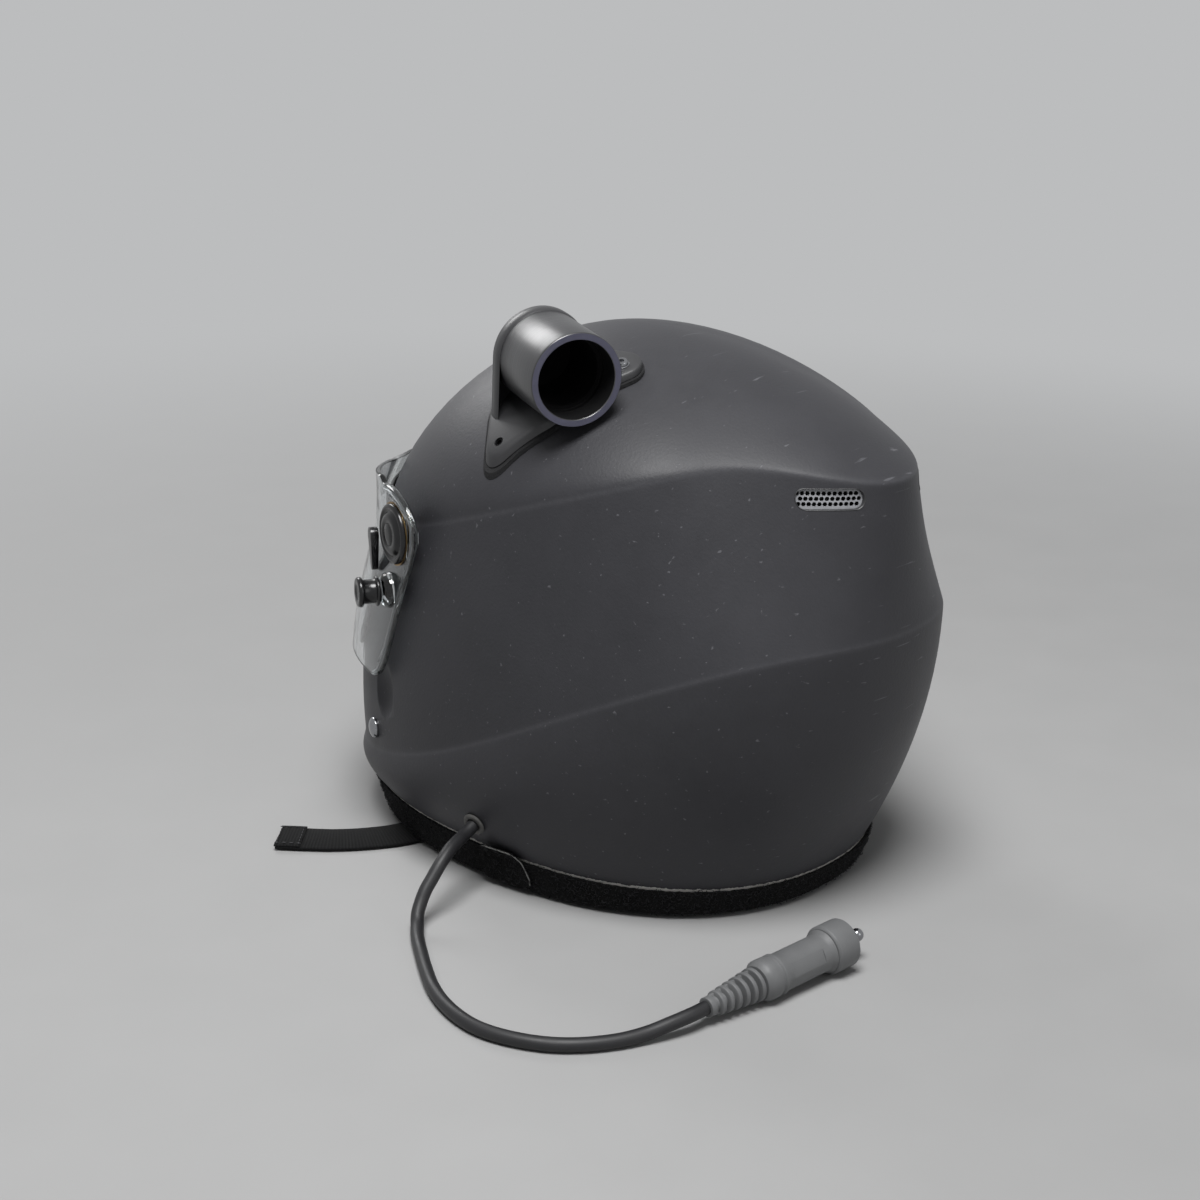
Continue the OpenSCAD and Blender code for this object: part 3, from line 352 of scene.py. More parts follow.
# %% Plastics, rubber and metal
flange_plastic = grained("Moulded ABS, satin black", "#2a2a2c", "#343436", 0.4, 0.9, 0.04,
                         Specular_IOR_Level=0.6)
black_plastic = grained("Moulded nylon, gloss black", "#0c0c0d", "#151517", 0.22, 1.5, 0.01)
# Pale patches on the grommet are painted highlights on its lip, and wear from the lead
rubber_worn_and_highlit = grained("Moulded rubber, worn, with painted highlights", "#131314", "#6c6b68", 0.55, 0.5, 0.08, patch=2.5)
rubber = grained("Moulded rubber, black", "#141415", "#1d1d1f", 0.55, 0.7, 0.05)
plug_rubber = grained("Moulded thermoplastic rubber, grey", "#646566", "#717273", 0.5, 0.6, 0.05,
                      patch=9)
lead_sheath = grained("Lead sheath, matte rubber", "#1b1b1d", "#262628", 0.5, 0.8, 0.04, patch=12)
steel = grained("Stainless steel, polished", "#8b8c8f", "#a5a6a9", 0.16, 2.0, 0.004, Metallic=1.0)
black_oxide = grained("Steel, black oxide", "#101012", "#242426", 0.45, 0.8, 0.02, Metallic=1.0)
bead_foam = grained("Expanded polystyrene, black beads", "#1b1b1c", "#2a2a2c", 0.8, 4.0, 0.5)
open_foam = grained("Open-cell foam, black", "#121213", "#1e1e20", 0.95, 0.8, 0.4)
mesh_metal = grained("Moulded mesh, silver grey", "#85868a", "#a8a9ad", 0.35, 1.2, 0.02, patch=6)
tan_ring = grained("Turned brass shim", "#8a6f45", "#a98a58", 0.3, 1.0, 0.01, Metallic=1.0)
# The paler blue-grey of the cut mouth is a painted sheen
mouth_painted_sheen = grained("Cut acetal, painted blue-grey sheen", "#4b4b5c", "#5d5d70", 0.4, 0.5, 0.03, patch=5)
# The bore's near-black is painted shade for the dark inside of a deep bore
bore_painted_shade = grained("Bored acetal, dull, painted shade", "#050506", "#0b0b0c", 0.75, 0.6, 0.05, patch=5,
                       Specular_IOR_Level=0.2)

clear, tree, shader, place = surface("Clear polycarbonate", Transmission_Weight=1.0, IOR=1.58,
                                     Roughness=0.02)
waves = add(tree, "ShaderNodeTexNoise", {"Vector": place, "Scale": 60.0, "Detail": 1.0})
relief = add(tree, "ShaderNodeBump", {"Height": waves, "Distance": 0.00008, "Strength": 1.0})
feed(tree, shader, {"Base Color": colour("#f2f5f6"), "Normal": relief})

nozzle_plastic, tree, shader, place = surface("Turned acetal, black", "UV", Specular_IOR_Level=1.0)
rings = add(tree, "ShaderNodeMapping", {"Vector": place, "Scale": (900, 4, 1)})
ring_noise = add(tree, "ShaderNodeTexNoise", {"Vector": rings, "Scale": 1.0, "Detail": 3.0})
patterned(tree, shader, ring_noise, "#18181a", "#363639", ring_noise, 0.1, (0.27, 0.4))

# %% [markdown]
# The webbing is woven nylon, with ribs across it about a millimetre and a half apart. The padding
# is a brushed knit over foam: its loops are drawn at a coarse 0.9 mm, so that they show. The loop
# tape is a knitted backing under a nap of small loops.


# %% Cloth
def woven(name, low, high, across, along, depth, sheen):
    """Threads that cross at right angles, from the piece's own map in metres."""
    material, tree, shader, place = surface(name, "UV", Sheen_Weight=sheen, Sheen_Roughness=0.5,
                                            Roughness=0.85)
    ribs = [add(tree, "ShaderNodeTexWave", {
        "Vector": place, "Scale": math.pi / 10 / (pitch * MM), "Distortion": 0.4, "Detail": 2.0,
        "Detail Scale": 3.0}, bands_direction=axis).outputs["Fac"]
        for pitch, axis in ((across, "X"), (along, "Y"))]
    both = add(tree, "ShaderNodeMath", {0: ribs[0], 1: ribs[1]}, operation="MULTIPLY")
    patterned(tree, shader, both, low, high, both, depth)
    return material


def knitted(name, low, high, loop, depth, sheen):
    """A napped knit: small loops with patches where the nap lies another way."""
    material, tree, shader, place = surface(name, Sheen_Weight=sheen, Sheen_Roughness=0.4,
                                            Roughness=0.95)
    loops = add(tree, "ShaderNodeTexVoronoi", {"Vector": place, "Scale": 1000 / loop})
    nap = add(tree, "ShaderNodeTexNoise", {"Vector": place, "Scale": 70.0, "Detail": 5.0})
    both = add(tree, "ShaderNodeMath", {0: loops, 1: nap}, operation="MULTIPLY")
    patterned(tree, shader, both, low, high, both, depth)
    return material


webbing = woven("Woven nylon webbing, black", "#040405", "#111112", 1.6, 1.2, 0.25, 0.03)
padding = knitted("Brushed knit over foam, charcoal", "#2c2d30", "#55565b", 0.9, 0.4, 0.5)
roll_cloth = knitted("Coated cloth, black", "#161618", "#2b2b2e", 1.1, 0.2, 0.2)
loop_tape = knitted("Loop tape, black", "#030303", "#0e0e0f", 0.8, 0.8, 0.02)
for cloth in (webbing, loop_tape):
    cloth.node_tree.nodes["Principled BSDF"].inputs["Specular IOR Level"].default_value = 0.2
fibre = grained("Nylon fibre, black", "#060607", "#27272a", 0.5, 3.0, 0.001, patch=1.5,
                Specular_IOR_Level=0.25)
pale_end_line = grained("Pale line along the tape's end", "#4a4a4a", "#8f8f8c", 0.7, 0.5, 0.05, patch=1.5)
thread = grained("Bonded nylon thread, black", "#1c1c1e", "#303033", 0.6, 0.5, 0.02)

# %% [markdown]
# ## The lead
# A free lead has a fixed length, so its route is the one that the solid follows: straight out of
# the grommet, over in one bend, down to the floor and round behind the helmet to its plug.

# %% Radio lead
LEAD_ROUTE = [
    (121.5, 2.5, 34.6), (126, 3, 33), (131, 4.2, 32), (136.5, 6.2, 31.8), (142, 8, 31), (147, 9.5, 29),
    (152, 10.5, 26), (157, 11, 21.5), (162, 11.5, 17), (166, 12.5, 12.5), (170, 14.5, 8.5),
    (174, 18.5, 5.2), (180, 25, 3.6), (189, 37, 3.4), (199, 51, 3.4), (208, 65, 3.4), (214.5, 79, 3.4),
    (218.5, 94, 3.4), (219, 108, 3.4), (215, 123, 3.4), (207.5, 137, 3.4), (197, 148, 3.4),
    (184.5, 156.5, 3.6), (173, 162, 4.6), (163, 166.5, 6.8), (153.5, 169.4, 8.1), (144.5, 170.5, 8.5)]
LEAD_D = 6.5
lead_path = smooth_path(LEAD_ROUTE, 5)
lead = finish(tube("radio_lead", lead_path, LEAD_D / 2, 20), lead_sheath,
              replaces=["radio_cord"])

# %% [markdown]
# The plug is four turned pieces on one axis: a ribbed relief round the lead, a grip with
# two blank panels, a head and a metal contact. The relief is rings round a core, and a spine
# crosses them, so the gaps between the rings are open on either side of it.

# %% Plug
PLUG_AT = LEAD_ROUTE[-1]
PLUG_AXIS = heading(173 + 90, 2.4)
RELIEF_LEN, RELIEF_RINGS, GRIP_R, HEAD_R, TIP_R, BALL_R = 31, 7, 9, 11.6, 2.8, 3.2
CORE_R, TAIL_R = LEAD_D / 2 + 0.2, LEAD_D / 2 + 1.3
relief_profile = [(LEAD_D / 2, 0.3), (TAIL_R, 0.3), (TAIL_R, 3.4)]
for i in range(1, RELIEF_RINGS):
    r = TAIL_R + 0.6 + (GRIP_R - 1.2 - TAIL_R) * i / RELIEF_RINGS
    h = 0.3 + i * RELIEF_LEN / RELIEF_RINGS
    relief_profile += [(CORE_R, h - 1.1), (CORE_R, h + 0.9), (r - 0.4, h + 1), (r, h + 1.3),
                       (r, h + 2.9), (r - 0.4, h + 3.2)]
relief_profile += [(TAIL_R + 1.2, RELIEF_LEN), (0, RELIEF_LEN)]
relief = finish(turned("plug_relief", relief_profile, PLUG_AT, PLUG_AXIS), plug_rubber,
                replaces=["strain_relief"], bevel=0.15)
grip_profile = [(0, 31.3), (8, 31.3), (9.1, 33), (9.7, 34), (9.7, 39), (8.9, 39.6), (8.9, 41),
                (9.7, 41.6), (9.7, 43), (GRIP_R, 44), (GRIP_R, 70), (9.3, 72), (10.4, 73.7), (0, 73.7)]
grip = turned("plug_grip", grip_profile, PLUG_AT, PLUG_AXIS, 96)


def local_box(at, axis, size, shift, turn=0.0):
    """A box placed by its middle along an axis and turned about it."""
    axis, side, other = basis(axis)
    c, s = math.cos(turn), math.sin(turn)
    side, other = side * c + other * s, other * c - side * s
    corners = [np.array(at) + axis * (shift[2] + z * size[2]) + side * (shift[0] + x * size[0])
               + other * (shift[1] + y * size[1])
               for z in (-0.5, 0.5) for x, y in ((-0.5, -0.5), (0.5, -0.5), (0.5, 0.5), (-0.5, 0.5))]
    return corners, [(0, 3, 2, 1), (4, 5, 6, 7), (0, 1, 5, 4), (1, 2, 6, 5), (2, 3, 7, 6), (3, 0, 4, 7)]


def cut(obj, parts):
    """Takes closed meshes out of an object."""
    points, faces = [], []
    for part_points, part_faces in parts:
        faces += [tuple(k + len(points) for k in face) for face in part_faces]
        points += list(part_points)
    tool = thing("tool", points, faces)
    settle(tool, 180)
    difference = obj.modifiers.new("Cut", "BOOLEAN")
    difference.object, difference.operation, difference.solver = tool, "DIFFERENCE", "EXACT"
    settle(obj, 180)
    applied(obj)
    bpy.data.objects.remove(tool)
    return obj


# The grip's blank panels face the camera and away from it, and the spine lies square to them
PLUG_TURN = -0.447
spine_rows = [local_box(PLUG_AT, PLUG_AXIS, (2.2, 2 * (TAIL_R - 0.3 + 3.2 * k), 0.01),
                        (0, 0, 0.5 + 30.4 * k), PLUG_TURN)[0][:4] for k in (0, 1)]
spine = finish(skinned("plug_relief_spine", spine_rows), plug_rubber, bevel=0.3)
panels = [local_box(PLUG_AT, PLUG_AXIS, (4, 8, 20), (sign * (GRIP_R - 0.6 + 2), 0, 57), PLUG_TURN)
          for sign in (-1, 1)]
grip = finish(cut(grip, panels), plug_rubber, replaces=["plug_body"], bevel=0.3)
head_profile = [(0, 74), (HEAD_R - 1, 74), (HEAD_R, 75), (HEAD_R, 86.8), (HEAD_R - 1.2, 88), (4.6, 88),
                (4.2, 87), (0, 87)]
head = finish(turned("plug_end", head_profile, PLUG_AT, PLUG_AXIS, 96), plug_rubber,
              replaces=["plug_head"], bevel=0.3)
tip_profile = [(0, 82.2), (TIP_R + 0.8, 82.2), (TIP_R + 0.8, 88.6), (TIP_R, 88.8), (TIP_R, 93),
               (TIP_R - 0.9, 93.8)]
tip_profile += [(BALL_R * math.cos(t), 97 + BALL_R * math.sin(t))
                for t in np.linspace(-1, math.pi / 2, 12)]
tip = finish(turned("plug_contact", tip_profile, PLUG_AT, PLUG_AXIS), steel,
             replaces=["plug_tip"])

# %% [markdown]
# ## The shell's form
# The shell follows a rule: rings whose plan is a superellipse, at the rim, the top of the band, two
# creases and the crown. Between the rings the wall bows out a little. The same rule is in the
# part's source, so both agree everywhere.

# %% Form of the shell
CROWN_H, RIM_H, WALL = 269, 2.5, 4


def around(front, side, rear, a):
    """A value that eases between three given ones at the front, the sides and the rear."""
    a, middle = np.radians(a), (front + rear) / 4
    return middle + side / 2 + (front - rear) / 2 * np.cos(a) + (middle - side / 2) * np.cos(2 * a)


def plan(front, side, rear, front_power, rear_power, a):
    c, s = np.cos(np.radians(a)), np.sin(np.radians(a))
    reach, power = np.where(c > 0, front, rear), np.where(c > 0, front_power, rear_power)
    return (np.abs(c / reach) ** power + np.abs(s / side) ** power) ** (-1 / power)


def rim_r(a):
    return plan(137, 106, 126, 2.4, 2.2, a)


def band_z(a):
    return around(23, 19.5, 16, a)


def crown_bow(a):
    return around(0.7, 0.62, 0.06, a)


def rings_at(a):
    """Radius and height of the rim, band, lower crease and upper crease at an azimuth."""
    off_rear = np.abs(np.mod(a, 360) - 180)
    peak = np.cos(np.radians(90 * np.minimum(off_rear, 40) / 40)) ** 3
    return ((rim_r(a), RIM_H), (rim_r(a) + around(8.5, 3.5, 4.5, a), band_z(a)),
            (plan(157, 126.5, 166, 2, 2.1, a), around(35, 77, 151, a) - 6 * peak),
            (plan(138.5, 118, 122, 2, 2, a) + 38 * peak, around(152, 191, 230, a) - 12 * peak))


def shell_r(a, z, off=0.0):
    """Radius of the surface at an azimuth and a height, moved inwards by off."""
    (r0, z0), (r1, z1), (r2, z2), (r3, z3) = rings_at(a)
    c = crown_bow(a)
    q = np.clip((z - z3) / (CROWN_H - off - z3), 0, 1)
    s = (-c + np.sqrt(c * c + 4 * (1 - c) * q)) / (2 * (1 - c))
    band = r0 + (r1 - r0) * np.maximum(0, (z - z0) / (z1 - z0)) - off
    t = (z - z1) / (z2 - z1)
    low = r1 + (r2 - r1) * t + around(4.6, 6.4, 8.2, a) * 4 * t * (1 - t) - off
    t = (z - z2) / (z3 - z2)
    high = r2 + (r3 - r2) * t + around(7.2, 3.4, 0, a) * 4 * t * (1 - t) - off
    top = (r3 - off) * np.sqrt(np.maximum(0, 1 - s * s))
    return np.where(z < z1, band, np.where(z < z2, low, np.where(z < z3, high, top)))


def polar(r, a, z):
    a = np.radians(a)
    return np.stack(np.broadcast_arrays(r * np.sin(a), -r * np.cos(a), z), -1).astype(float)


def on_shell(a, z, off=0.0):
    return polar(shell_r(a, z, off), a, z)


def profile(a, levels, off=0.0):
    """Radius and height at levels from 4, the top, to 0, the rim."""
    marks, c = rings_at(a), crown_bow(a)
    r, z = [], []
    for u in levels:
        if u >= 3:
            w = math.radians(90 * (u - 3))
            rise = (1 - c) * math.sin(w) ** 2 + c * math.sin(w)
            z.append(marks[3][1] + (CROWN_H - off - marks[3][1]) * rise)
            r.append((marks[3][0] - off) * math.cos(w))
        else:
            k = int(u)
            z.append(marks[k][1] + (marks[k + 1][1] - marks[k][1]) * (u - k))
            r.append(float(shell_r(a, z[-1], off)))
    return np.array(r, float), np.array(z, float)


def eased(start, end, steps):
    """Levels between two rings, close together at both."""
    return [start + (end - start) * (1 - math.cos(math.pi * i / steps)) / 2 for i in range(steps)]


# %% [markdown]
# A moulded crease is never quite sharp. Each column of the shell is averaged along its own length
# over a few millimetres, which rounds the creases and leaves the rest as it is. The average is
# wider towards the front, where the real creases fade out.

# %% Outer shell
COLUMNS, CREASE_LIGHTENING, ROUND_THE_BAND = 288, 0.6, 0.806
levels = eased(4, 3, 30) + eased(3, 2, 34) + eased(2, 1, 34) + eased(1, 0, 8) + [0]
inner_levels = [0, 0.5, 1, 1.3, 1.6, 2, 2.25, 2.5, 2.75, 3, 3.15, 3.3, 3.5, 3.7, 3.85, 4]
spread = np.linspace(-1, 1, 9)
weights = 1 - np.abs(spread) * 0.7
weights /= weights.sum()
columns, shares, heights = [], [], []
for a in np.arange(COLUMNS) * 360 / COLUMNS:
    r, z = profile(a, levels)
    run = run_along(np.stack([r, z], -1))
    reach = np.minimum(float(around(6, 2.6, 1.8, a)), np.minimum(run, run[-1] - run))
    near = run[:, None] + spread[None, :] * reach[:, None]
    soft_r, soft_z = np.interp(near, run, r) @ weights, np.interp(near, run, z) @ weights
    inner_r, inner_z = profile(a, inner_levels, WALL)
    columns.append(np.vstack([polar(soft_r, a, soft_z), polar(inner_r, a, inner_z)]))
    off_crease = np.minimum(np.abs(z - rings_at(a)[2][1]), np.abs(z - rings_at(a)[3][1]))
    shares.append(np.exp(-(off_crease / 1.3) ** 2) * CREASE_LIGHTENING)
    heights.append((soft_z - band_z(a)) * MM)
inner_part = ((0, 0), (0, len(inner_levels)))
shares = np.pad(shares, inner_part)
heights = np.pad(heights, inner_part, constant_values=0.1)
points, faces, places = skin(np.array(columns).transpose(1, 0, 2), capped=False)
shell = thing("outer_skin", points, faces, places, lambda i, j: (
    j * ROUND_THE_BAND / COLUMNS, heights[j % COLUMNS][min(i, heights.shape[1] - 1)]))
crease = shell.data.attributes.new("crease", "FLOAT", "POINT")
crease.data.foreach_set("value", shares.T.reshape(-1).astype(np.float32))
print("shell faces:", len(faces))


# %% [markdown]
# Openings are rounded rectangles drawn on the surface. Each becomes a plug through the wall, and
# all plugs are cut out at once. The scoops under the shield's corners are shallow ellipsoids.


# %% Openings in the shell
def rounded(w, h, r, corner_steps, side_steps):
    """Outline of a rounded rectangle, as half widths and a corner radius."""
    corners = np.array([(x * (w - r), y * (h - r)) for x, y in ((1, 1), (-1, 1), (-1, -1), (1, -1))])
    out = []
    for k, corner in enumerate(corners):
        turn = np.radians(90 * k + 90 * np.arange(corner_steps + 1) / corner_steps)
        arc = [corner + (r * math.cos(t), r * math.sin(t)) for t in turn]
        side = corners[(k + 1) % 4] - corner
        out += arc[:-1] + [arc[-1] + side * s / side_steps for s in range(side_steps)]
    return out


EYEPORT = (0, 48, 138.5, 37.5, 22)
VENTS = ((166.5, 5.6, 212, 5, 4.6), (-166.5, 5.6, 212, 5, 4.6))


def per_degree(middle, z):
    return float(shell_r(middle, z)) * math.pi / 180


def port_ring(port, inset, off, corner_steps=12, side_steps=24):
    """An opening's outline on the surface, drawn in by inset and moved inwards by off."""
    middle, half, z, half_h, r = port
    scale = per_degree(middle, z)
    outline = rounded(half * scale - inset, half_h - inset, r - inset, corner_steps, side_steps)
    return np.array([on_shell(middle + x / scale, z + y, off) for x, y in outline])


def port_plug(port, out, into, columns=56, rows=14):
    """A closed block that fills an opening from outside the wall to inside it, bent as it is."""
    middle, half, z, half_h, r = port
    scale = per_degree(middle, z)
    rings = []
    for s in np.linspace(0, math.pi, columns):
        x = -half * scale * math.cos(s)
        over = max(0, abs(x) - (half * scale - r))
        reach = half_h - r + math.sqrt(max(0, r * r - over * over))
        a, ring_z = middle + x / scale, z + reach * np.linspace(-1, 1, rows)
        rings.append(np.vstack([on_shell(a, ring_z, out), on_shell(a, ring_z, into)[::-1]]))
    return skin(rings)[:2]


def rod(at, axis, start, end, radius, sides=64):
    axis, side, other = basis(axis)
    return skin([circle(np.array(at) + axis * h, side, other, radius, sides) for h in (start, end)])[:2]


def ellipsoid(at, axis, radii, steps=20):
    """A ball stretched along an axis and across it."""
    axis, side, other = basis(axis)
    return skin([circle(np.array(at) + axis * radii[0] * math.cos(v), side * radii[1],
                        other * radii[2], math.sin(v), 2 * steps)
                 for v in np.linspace(0.02, math.pi - 0.02, steps)])[:2]


DUCT_AT, DUCT_HEADING, DUCT_RISE = np.array((78.0, 6.0, 263.0)), 65, -4
DUCT_AXIS = np.array(heading(DUCT_HEADING + 90, DUCT_RISE))
SPIGOT_R, BORE_R, COWL_R, COWL_DEPTH = 22.25, 18.75, 25.35, 15
SCOOP_AT, SCOOP_Z, SCOOP_RADII, SCOOP_DEPTH = 61, 86, (25.2, 22, 31), 3.4
duct_tunnel = rod(DUCT_AT, DUCT_AXIS, -5.8, 56, SPIGOT_R + 0.1)
scoops = []
for _, sign in SIDES:
    lean = heading(sign * SCOOP_AT, 0)
    out = np.array(lean) * (SCOOP_RADII[0] - SCOOP_DEPTH)
    scoops.append(ellipsoid(on_shell(sign * SCOOP_AT, SCOOP_Z) + out, lean, SCOOP_RADII, 32))
cut(shell, [port_plug(EYEPORT, -12, 16)] + [port_plug(v, -8, 10, 24, 8) for v in VENTS] + scoops
    + [duct_tunnel])
finish(shell, lacquer, replaces=["outer_shell"], sharp=38)
print("shell triangles:", sum(len(p.vertices) - 2 for p in shell.data.polygons))


# %% [markdown]
# The eyeport's edge is covered by a rubber channel with a round bead. It is one section carried
# round the opening.


# %% Rubber edge of the eyeport
def edged(name, port, section, *steps):
    """A section carried round an opening. Its points are how far in and how deep."""
    rings = np.array([port_ring(port, inset, off, *steps) for inset, off in section])
    return skinned(name, rings.transpose(1, 0, 2), looped=True)


bead = [(-5, -0.8), (-5.2, -1.5), (-4.6, -2.3), (1.4, -2.3), (2.4, -1.4), (2.5, 0), (2.5, 4.2),
        (2.3, 5.6), (1.4, 6.3), (-4.6, 6.3), (-5.2, 5.6), (-5, 4.8), (0.3, 4.8), (0.3, -0.8)]
finish(edged("eyeport_edge", EYEPORT, bead), rubber, replaces=["eyeport_gasket"], sharp=50)

# %% [markdown]
# Each rear vent has a thin moulded frame in its slot, and a mesh set back behind it. The mesh keeps
# its solid: three rows of hexagonal holes. A copy of a solid's mesh is loose triangles, so it is
# joined up before it is shaded.


# %% Vents and other exact parts
def from_solid(node, name, finish_material, body="helmet", bevel=0, sharp=35):
    """A joined copy of a CAD node's mesh that stands for it."""
    copy = linked(name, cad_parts[node].data.copy())
    return finish(copy, finish_material, body, [node], bevel, sharp)


frame_section = [(0.05, -0.1), (0.25, -0.25), (0.45, -0.1), (0.5, 0.4), (0.5, 3.2), (0.05, 3.2)]
for (side, _), port in zip(SIDES, VENTS):
    from_solid(f"vent_mesh_{side}", f"vent_{side}_mesh", mesh_metal, sharp=20)
    finish(edged(f"vent_{side}_frame", port, frame_section, 8, 6), flange_plastic,
           sharp=50)

# %% [markdown]
# ## The air inlet
# The spigot is turned from bar and has a stepped bore, so it is a profile on an axis. Its cut mouth
# has a paler, bluish painted sheen and its bore is dull with painted shade, so each has its own finish.

# %% Spigot
MOUTH, STEP = 42, 26
spigot_profile = [
    (SPIGOT_R - 0.3, -5.5), (SPIGOT_R, -5), (SPIGOT_R, MOUTH - 1), (SPIGOT_R - 0.1, MOUTH - 0.3),
    (SPIGOT_R - 0.4, MOUTH), (BORE_R + 0.3, MOUTH), (BORE_R, MOUTH - 0.3), (BORE_R, 30),
    (BORE_R - 0.3, 29.6), (BORE_R, 29.2), (BORE_R, STEP + 0.4), (BORE_R - 0.4, STEP), (BORE_R - 2, STEP),
    (BORE_R - 2, -4), (14, -8), (8, -10.4), (0, -11)]
spigot = turned("air_spigot", spigot_profile, DUCT_AT, DUCT_AXIS, 128)


def off_axis(point):
    """Height along the spigot's axis and distance from it."""
    at = np.array(point) / MM - DUCT_AT
    height = float(at @ DUCT_AXIS)
    return height, float(np.linalg.norm(at - height * DUCT_AXIS))


spigot_map = spigot.data.uv_layers.new(name="UVMap")
for loop in spigot.data.loops:
    height, r = off_axis(spigot.data.vertices[loop.vertex_index].co)
    spigot_map.data[loop.index].uv = ((height + 0.7 * r) * MM, 0.0)
finish(spigot, nozzle_plastic, replaces=["air_nozzle"], sharp=40)
spigot.data.materials.append(mouth_painted_sheen)
spigot.data.materials.append(bore_painted_shade)
for face in spigot.data.polygons:
    height, r = off_axis(face.center)
    face.material_index = 1 if height > MOUTH - 0.1 else 2 if r < BORE_R + 0.1 else 0


# %% [markdown]
# The cowl is a row of arches that get lower and narrower towards the back. Its flange lies on the
# crown, so it takes its heights from the crown's rule.


# %% Flange
def crown(x, y):
    """Height and upward normal of the crown over a point of the plan."""
    def height(x, y):
        a = math.degrees(math.atan2(x, -y))
        r3, z3 = rings_at(a)[3]
        w = math.acos(min(1, math.hypot(x, y) / r3))
        c = float(crown_bow(a))
        return float(z3 + (CROWN_H - z3) * ((1 - c) * math.sin(w) ** 2 + c * math.sin(w)))
    slope = (height(x - 1, y) - height(x + 1, y), height(x, y - 1) - height(x, y + 1), 2)
    return height(x, y), Vector(slope).normalized()


def lifted(x, y, d):
    z, normal = crown(x, y)
    return (x, y, z + d / normal.z)


def on_crown(x, y, d):
    z, normal = crown(x, y)
    return np.array((x, y, z)) + np.array(normal) * d, normal


def convex(points):
    """Convex outline of points in the plan, anticlockwise."""
    points = sorted(points)
    outline = []
    for row in (points, points[::-1]):
        half = []
        for p in row:
            while len(half) > 1 and ((half[-1][0] - half[-2][0]) * (p[1] - half[-2][1])
                                     - (half[-1][1] - half[-2][1]) * (p[0] - half[-2][0])) <= 0:
                half.pop()
            half.append(p)
        outline += half[:-1]
    return outline


SCREW_SPOTS, LOBE_R = ((102.5, 5), (53.2, 34.2)), 9
FLANGE_LOW, FLANGE_T, FLANGE_STEPS = 2.1, 3, 160
FLANGE_TOP = FLANGE_LOW + FLANGE_T


def flange_outline(extra):
    """The flange's plan at even spacing: a circle round the duct and one round each screw."""
    circles = [(DUCT_AT[0], DUCT_AT[1], COWL_R)] + [(x, y, LOBE_R) for x, y in SCREW_SPOTS]
    dots = [(x + (r + extra) * math.cos(t), y + (r + extra) * math.sin(t)) for x, y, r in circles
            for t in np.linspace(0, 2 * math.pi, 90, endpoint=False)]
    ring = np.array(convex(dots))
    ring = np.vstack([ring, ring[:1]])
    run = run_along(ring)
    at = np.linspace(0, run[-1], FLANGE_STEPS, endpoint=False)
    return np.stack([np.interp(at, run, ring[:, 0]), np.interp(at, run, ring[:, 1])], -1)


edge = [(0, FLANGE_LOW), (0, FLANGE_TOP - 0.9), (-0.3, FLANGE_TOP - 0.3), (-1, FLANGE_TOP)]
rows = [[lifted(x, y, d) for x, y in flange_outline(extra)] for extra, d in edge]
middle = flange_outline(0).mean(axis=0)
# Rings that draw in to the middle close its top, and rings that spread out close its underside
for extra, d, spreads in ((-1, FLANGE_TOP, (0.9, 0.75, 0.6, 0.45, 0.3, 0.15, 0.02)),
                          (0, FLANGE_LOW, (0.02, 0.3, 0.6, 0.9))):
    rows += [[lifted(*(middle + (p - middle) * share), d) for p in flange_outline(extra)]
             for share in spreads]
flange = skinned("inlet_flange", rows, looped=True)
SUNK_AT, SUNK_AXIS = on_crown(*SCREW_SPOTS[0], FLANGE_TOP)
cut(flange, [duct_tunnel, rod(SUNK_AT, SUNK_AXIS, -2.2, 3, 2.4)])
finish(flange, flange_plastic, sharp=40)

# %% Cowl and screws
HOOD_DROP, HOOD_WALL = 30, 2.9
across = np.array((-math.sin(math.radians(DUCT_HEADING)), math.cos(math.radians(DUCT_HEADING)), 0))
upward = np.cross(DUCT_AXIS, across)


def arch(radius, depth):
    legs = [(radius, -HOOD_DROP), (radius, -HOOD_DROP / 2)]
    turn = np.linspace(0, math.pi, 33)
    flat = legs + [(radius * math.cos(t), radius * math.sin(t)) for t in turn]
    flat += [(-x, y) for x, y in legs[::-1]]
    return [DUCT_AT - DUCT_AXIS * depth + across * x + upward * y for x, y in flat]


hood_turns = np.radians(np.linspace(0, 84, 15))
# The hood's front edge is rounded down to the spigot
outside = [arch(r, depth) for r, depth in ((22.3, -0.9), (22.6, -0.4), (22.9, 0.4), (23.2, 2))]
outside += [arch(COWL_R * math.cos(t), COWL_DEPTH * math.sin(t)) for t in hood_turns[4:]]
inside = [arch((COWL_R - HOOD_WALL) * math.cos(t), (COWL_DEPTH - 3) * math.sin(t)) for t in hood_turns]
hood = skinned("inlet_hood", inside[::-1] + outside)
finish(hood, flange_plastic, replaces=["inlet_cowl"], sharp=50)
from_solid("inlet_seal", "inlet_gasket", open_foam)

# One screw is blackened and sunk in its hole, and the other is bright and stands on the flange
sunk = [(0, -2.6), (2.3, -2.6), (2.3, -0.6), (2.1, -0.4), (1.3, -0.4), (1.2, -1.2), (0, -1.2)]
raised = [(0, -3), (3.8, -3), (3.8, 0.35), (3.5, 0.6), (3.2, 0.6), (3.1, 1.8), (2.8, 2.2), (1.4, 2.2),
          (1.3, 1), (0, 0.9)]
for number, (spot, head, metal) in enumerate(zip(SCREW_SPOTS, (sunk, raised), (black_oxide, steel))):
    screw = turned(f"inlet_bolt_{number + 1}", head, *on_crown(*spot, FLANGE_TOP), 48)
    finish(screw, metal, replaces=["inlet_screws"] if number else ())


# %% [markdown]
# ## The shield
# The shield is one clear moulding. It follows the shell in front, and its ears stand upright round
# the hinge line. Its edges are rounded, because polished edges are what shows of clear plastic.


# %% Shield
def smooth(x):
    x = np.clip(x, 0, 1)
    return x * x * (3 - 2 * x)


